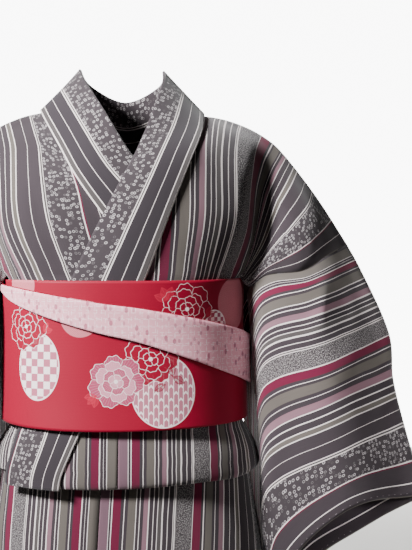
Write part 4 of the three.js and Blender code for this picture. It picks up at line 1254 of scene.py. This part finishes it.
def belt_piece(name, net, closed, face, turned=False):
    """A wrap. Its UV map is x round the figure and z up, where its pictures are drawn."""
    count = len(net)
    middle_row = net[:, 3]
    ts = []
    for i in range(count if closed else count - 1):
        steps = max(1, round(np.linalg.norm(middle_row[(i + 1) % count] - middle_row[i]) / STEP))
        ts += [i + j / steps for j in range(steps)]
    if not closed:
        ts.append(count - 1)
    around = np.concatenate([net[-1:], net, net[:2]]) if closed else net
    columns = np.swapaxes(np.array([through(around, t + closed) for t in ts]), 0, 1)
    cs = []
    for j in range(len(columns) - 1):
        longest = np.linalg.norm(columns[j + 1] - columns[j], axis=-1).max()
        steps = max(2, round(longest / STEP))
        cs += [j + i / steps for i in range(steps)]
    cs.append(len(columns) - 1)
    points = np.swapaxes(np.array([through(columns, c) for c in cs]), 0, 1)
    middle = points[:, int(len(cs) * MEASURED_AT)]
    round_x = arcs(middle)
    front = int(np.argmin(np.abs(middle[:, 0]) + (middle[:, 1] > 0) * BEHIND))
    x = np.repeat((round_x - round_x[front])[:, None], len(cs), 1) + middle[front, 0]
    on_reverse = (np.array(cs) > FOLD_COLUMN) & turned

    def face_of(quads):
        return on_reverse[(quads[:, 0] % x.size) % len(cs)]
    shell(name, points, x, BELT, [face, belt_reverse], closed, points[..., 2], face_of)


belt_piece("obi_first_wrap", belt_first(), True, belt_inner)
belt_piece("obi_second_wrap", belt_second(), False, belt_outer, turned=True)


# %% The bow
def bow_piece(name, net, closed, cloth):
    points, _ = finer(net, np.zeros(net.shape[:2]), 2, 1, closed)
    x = arcs(points[:, 0])[:, None] + np.zeros(points.shape[:2])
    shell(name, points, x, BELT, [cloth], closed, points[..., 2])


for side in ("left", "right"):
    bow_piece("bow_wing_" + side, wing(side), False, belt_plain)
bow_piece("bow_knot", knot(), True, belt_reverse)

# %% [markdown]
# ## Slip stitches at the cuffs
# The turned edge of a cuff is caught down by hand, and each stitch shows as a speck of
# thread a few millimetres from the edge. Stitches follow a path, so Geometry Nodes lay
# them along the edge of the opening.

# %% Laying stitches
def slip_stitches():
    """A node tree that lays stitches along every edge path it is given."""
    tree = bpy.data.node_groups.new("slip_stitches", "GeometryNodeTree")

    def named(name, kind, value=None, way="INPUT"):
        socket = tree.interface.new_socket(name, in_out=way, socket_type="NodeSocket" + kind)
        if value is not None:
            socket.default_value = value
    named("Geometry", "Geometry")
    for name, value in (("Spacing", 0.009), ("Stitch length", 0.0022), ("Thread", 0.0005)):
        named(name, "Float", value)
    named("Seed", "Int", 11)
    named("Material", "Material")
    named("Geometry", "Geometry", way="OUTPUT")
    given = add(tree, "NodeGroupInput").outputs
    path = add(tree, "GeometryNodeMeshToCurve", None, {"Mesh": given["Geometry"]}).outputs[0]
    places = add(tree, "GeometryNodeResampleCurve", {"mode": "LENGTH"}, {
        "Curve": path, "Length": given["Spacing"]}).outputs[0]
    along = add(tree, "GeometryNodeInputTangent").outputs[0]
    turned = add(tree, "FunctionNodeAlignRotationToVector", {"axis": "Z"}, {"Vector": along}).outputs[0]
    uneven = add(tree, "FunctionNodeRandomValue", {"data_type": "FLOAT"}, {
        "Min": 0.75, "Max": 1.15, "Seed": given["Seed"]}).outputs[1]
    long = add(tree, "ShaderNodeMath", {"operation": "MULTIPLY"}, {
        0: given["Stitch length"], 1: uneven}).outputs[0]
    size = add(tree, "ShaderNodeCombineXYZ", None, {
        0: given["Thread"], 1: given["Thread"], 2: long}).outputs[0]
    thread = add(tree, "GeometryNodeMeshUVSphere", None, {
        "Segments": 8, "Rings": 6, "Radius": 0.5}).outputs[0]
    laid = add(tree, "GeometryNodeInstanceOnPoints", None, {
        "Points": places, "Instance": thread, "Rotation": turned, "Scale": size}).outputs[0]
    real = add(tree, "GeometryNodeRealizeInstances", None, {"Geometry": laid}).outputs[0]
    coloured = add(tree, "GeometryNodeSetMaterial", None, {
        "Geometry": real, "Material": given["Material"]}).outputs[0]
    add(tree, "NodeGroupOutput", None, {0: coloured})
    return tree


def thread_material():
    """Cotton sewing thread: matt and slightly lighter than the cloth's dark stripes."""
    material, tree = new_material("grey_sewing_thread", "#7d7478")
    twist = add(tree, "ShaderNodeTexWave", None, {
        "Vector": add(tree, "ShaderNodeTexCoord").outputs["Object"], "Scale": 900.0, "Distortion": 2.0})
    shade = blend(tree, twist.outputs["Fac"], linear("#6a6165"), linear("#8d8488"))
    cotton = add(tree, "ShaderNodeBsdfPrincipled", None, {"Base Color": shade, "Roughness": 0.8})
    add(tree, "ShaderNodeOutputMaterial", None, {0: cotton.outputs[0]})
    return material


# %% Cuff stitches
CUFF_FOOT = -600                             # mm: the cuff is sewn shut below this height
TURN_IN = 4                                  # mm from the edge to the stitches
LONGEST_STEP = 0.03                          # m: further apart, two points are on two edges
FACES_A_STITCH = 48


def cuff_path(side):
    """The open part of the cuff's turning, on the outer face of the cloth."""
    grid = grids["sleeve_" + side]
    edge, inner = grid[:, -1], grid[:, -4]
    inward = (inner - edge) / np.linalg.norm(inner - edge, axis=-1, keepdims=True)
    out = normals(grid, True)[:, -1]
    out = out * np.sign((out * (edge - edge.mean(0))).sum(-1, keepdims=True))
    path = edge + inward * TURN_IN + out * (CLOTH / 2 + 0.15)
    return path[edge[:, 2] > CUFF_FOOT]


points, links = [], []
for side in ("left", "right"):
    first = len(points)
    points += [tuple(p / 1000) for p in cuff_path(side)]
    links += [(i, i + 1) for i in range(first, len(points) - 1)
              if math.dist(points[i], points[i + 1]) < LONGEST_STEP]
edges = bpy.data.meshes.new("cuff_edges")
edges.from_pydata(points, links, [])
guide = put("cuff_guide", edges)
laying = guide.modifiers.new("slip_stitches", "NODES")
laying.node_group = slip_stitches()
for item in laying.node_group.interface.items_tree:
    if item.name == "Material":
        laying[item.identifier] = thread_material()
bpy.context.view_layer.update()
ready = guide.evaluated_get(bpy.context.evaluated_depsgraph_get())
stitches = put("cuff_stitches", bpy.data.meshes.new_from_object(ready))
guide.modifiers.remove(laying)
bpy.data.objects.remove(guide)
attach(stitches, "root")
print("cuff stitches:", len(stitches.data.polygons) // FACES_A_STITCH)

# %% [markdown]
# ## What each sheet was cut to
# A kimono is cut in straight lengths from one bolt, and the belt is one straight band.
# These are the flat sizes of the cloth that shows, in metres, seam turnings and the
# layer folded inside the collar left out. A wing has less cloth than its cut, because
# the cloth in the pleats at the knot isn't modelled.

# %% Sheets
CUT = {  # node: flat size, how it is held, what it rests on, cloth slot
    "body_left": ((0.23, 3.00), "hung", [], "kimono_cloth"),
    "body_right": ((0.23, 3.00), "hung", [], "kimono_cloth"),
    "okumi_left": ((0.15, 1.15), "hung", ["body_left"], "kimono_cloth"),
    "okumi_right": ((0.15, 1.15), "hung", ["body_right"], "kimono_cloth"),
    "collar": ((0.065, 1.23), "folded", ["body_left", "body_right"], "collar_cloth"),
    "sleeve_left": ((0.25, 0.90), "hung", ["body_left"], "kimono_cloth"),
    "sleeve_right": ((0.25, 0.90), "hung", ["body_right"], "kimono_cloth"),
    "obi_first_wrap": ((0.163, 0.75), "stretched", ["body_left"], "obi_face"),
    "obi_second_wrap": ((0.163, 0.74), "folded", ["obi_first_wrap"], "obi_face"),
    "bow_wing_left": ((0.13, 0.31), "folded", ["obi_second_wrap"], "obi_face"),
    "bow_wing_right": ((0.13, 0.31), "folded", ["obi_second_wrap"], "obi_face"),
    "bow_knot": ((0.046, 0.14), "folded", ["obi_first_wrap"], "obi_face")}
for name, (flat, held, under, slot) in CUT.items():
    piece, area = made[name]
    print(name, "cut", flat, "modelled / flat area", round(area / (flat[0] * flat[1]), 2))

# %% [markdown]
# ## Floor, light and camera
# A pale studio: one lamp high on the viewer's left, so the wearer's left side falls
# into shade, a weak fill, and a backdrop whose own glow is a painted pool of light in
# its middle. An evenly bright backdrop would light the shaded side as well.
# The camera stands level, 1.5 m away, where the belt's curve and the sleeves' widths
# agree with the photo.

# %% Stage
def paper(name, code, glow):
    """Matt studio paper. Its own glow, which is painted light, is one number, or bright and dim for a painted
    pool of light.
    """
    material, tree = new_material(name, code)
    surface = add(tree, "ShaderNodeBsdfPrincipled", None, {
        "Base Color": linear(code), "Roughness": 0.95, "Emission Color": linear(code)})
    surface.inputs["Emission Strength"].default_value = glow if isinstance(glow, float) else 0.0
    add(tree, "ShaderNodeOutputMaterial", None, {0: surface.outputs[0]})
    if not isinstance(glow, float):          # the pool fades between 2.3 and 4.2 m from the middle
        where = add(tree, "ShaderNodeTexCoord").outputs["Object"]
        level = add(tree, "ShaderNodeVectorMath", {"operation": "MULTIPLY"}, {0: where, 1: (1.0, 0.0, 1.0)})
        far = add(tree, "ShaderNodeVectorMath", {"operation": "LENGTH"}, {0: level.outputs[0]})
        pool = add(tree, "ShaderNodeMapRange", {"interpolation_type": "SMOOTHSTEP"}, {
            "Value": far.outputs["Value"], "From Min": 2.3, "From Max": 4.2,
            "To Min": glow[0], "To Max": glow[1]})
        tree.links.new(pool.outputs[0], surface.inputs["Emission Strength"])
    return material


def sheet_of_paper(name, corners, material):
    mesh = bpy.data.meshes.new(name)
    mesh.from_pydata(corners, [], [(0, 1, 2, 3)])
    mesh.materials.append(material)
    return put(name, mesh)


FLOOR = CAD_BOX[0][2] - 0.03                 # metres: just below the hem
WALL, HALF, TOP = 7.0, 9.0, 6                # metres: the backdrop's distance, half-width and top
floor = sheet_of_paper("floor", [(-HALF, -HALF, FLOOR), (HALF, -HALF, FLOOR), (HALF, WALL, FLOOR),
                                 (-HALF, WALL, FLOOR)], paper("pale_floor", "#d5d3cf", 0.0))
# the backdrop glows with painted light: a bright pool in its middle that fades towards the sides
backdrop = sheet_of_paper("backdrop", [(-HALF, WALL, FLOOR), (HALF, WALL, FLOOR), (HALF, WALL, TOP),
                                       (-HALF, WALL, TOP)], paper("glowing_white_backdrop", "#ffffff", (9.0, 0.6)))
print("floor at", round(FLOOR, 3), "m, backdrop", WALL, "m behind")


# %% Light
def lamp(name, place, aim, size, power, spread=180):
    """A square lamp; a spread below 180 degrees keeps its light in a cone."""
    data = bpy.data.lights.new(name, "AREA")
    data.shape, data.size, data.energy = "SQUARE", size, power
    data.spread = math.radians(spread)
    obj = put(name, data)
    obj.location = place
    direction = mathutils.Vector(aim) - mathutils.Vector(place)
    obj.rotation_euler = direction.to_track_quat("-Z", "Y").to_euler()
    print(name, power, "W", round(direction.length, 2), "m from what it lights")


lamp("key_light", (-1.6, -1.3, 1.05), (0.0, 0, -0.05), 0.5, 30, 62)
lamp("fill_light", (1.2, -2.4, 0.3), (0.3, 0, -0.35), 0.8, 0.8)
lamp("sleeve_light", (0.75, -2.1, 0.15), (0.37, 0, -0.36), 0.2, 0.42, 15)
lamp("back_light", (0.9, 3.2, 0.9), (0, 0, -0.4), 1.2, 30)
world = bpy.data.worlds.new("studio_air")
bpy.context.scene.world = world
world.use_nodes = True
air = world.node_tree.nodes["Background"]
air.inputs["Color"].default_value = (1, 1, 1, 1)
air.inputs["Strength"].default_value = 0.02

# %% Camera
camera_data = bpy.data.cameras.new("camera")
camera_data.lens, camera_data.sensor_width = 85.4, 36
camera = put("camera", camera_data)
camera.location = (0.093, -1.5, -0.20125)
camera.rotation_euler = (math.radians(90), 0, 0)
bpy.context.scene.camera = camera
print("camera", list(camera.location), "lens", camera_data.lens)
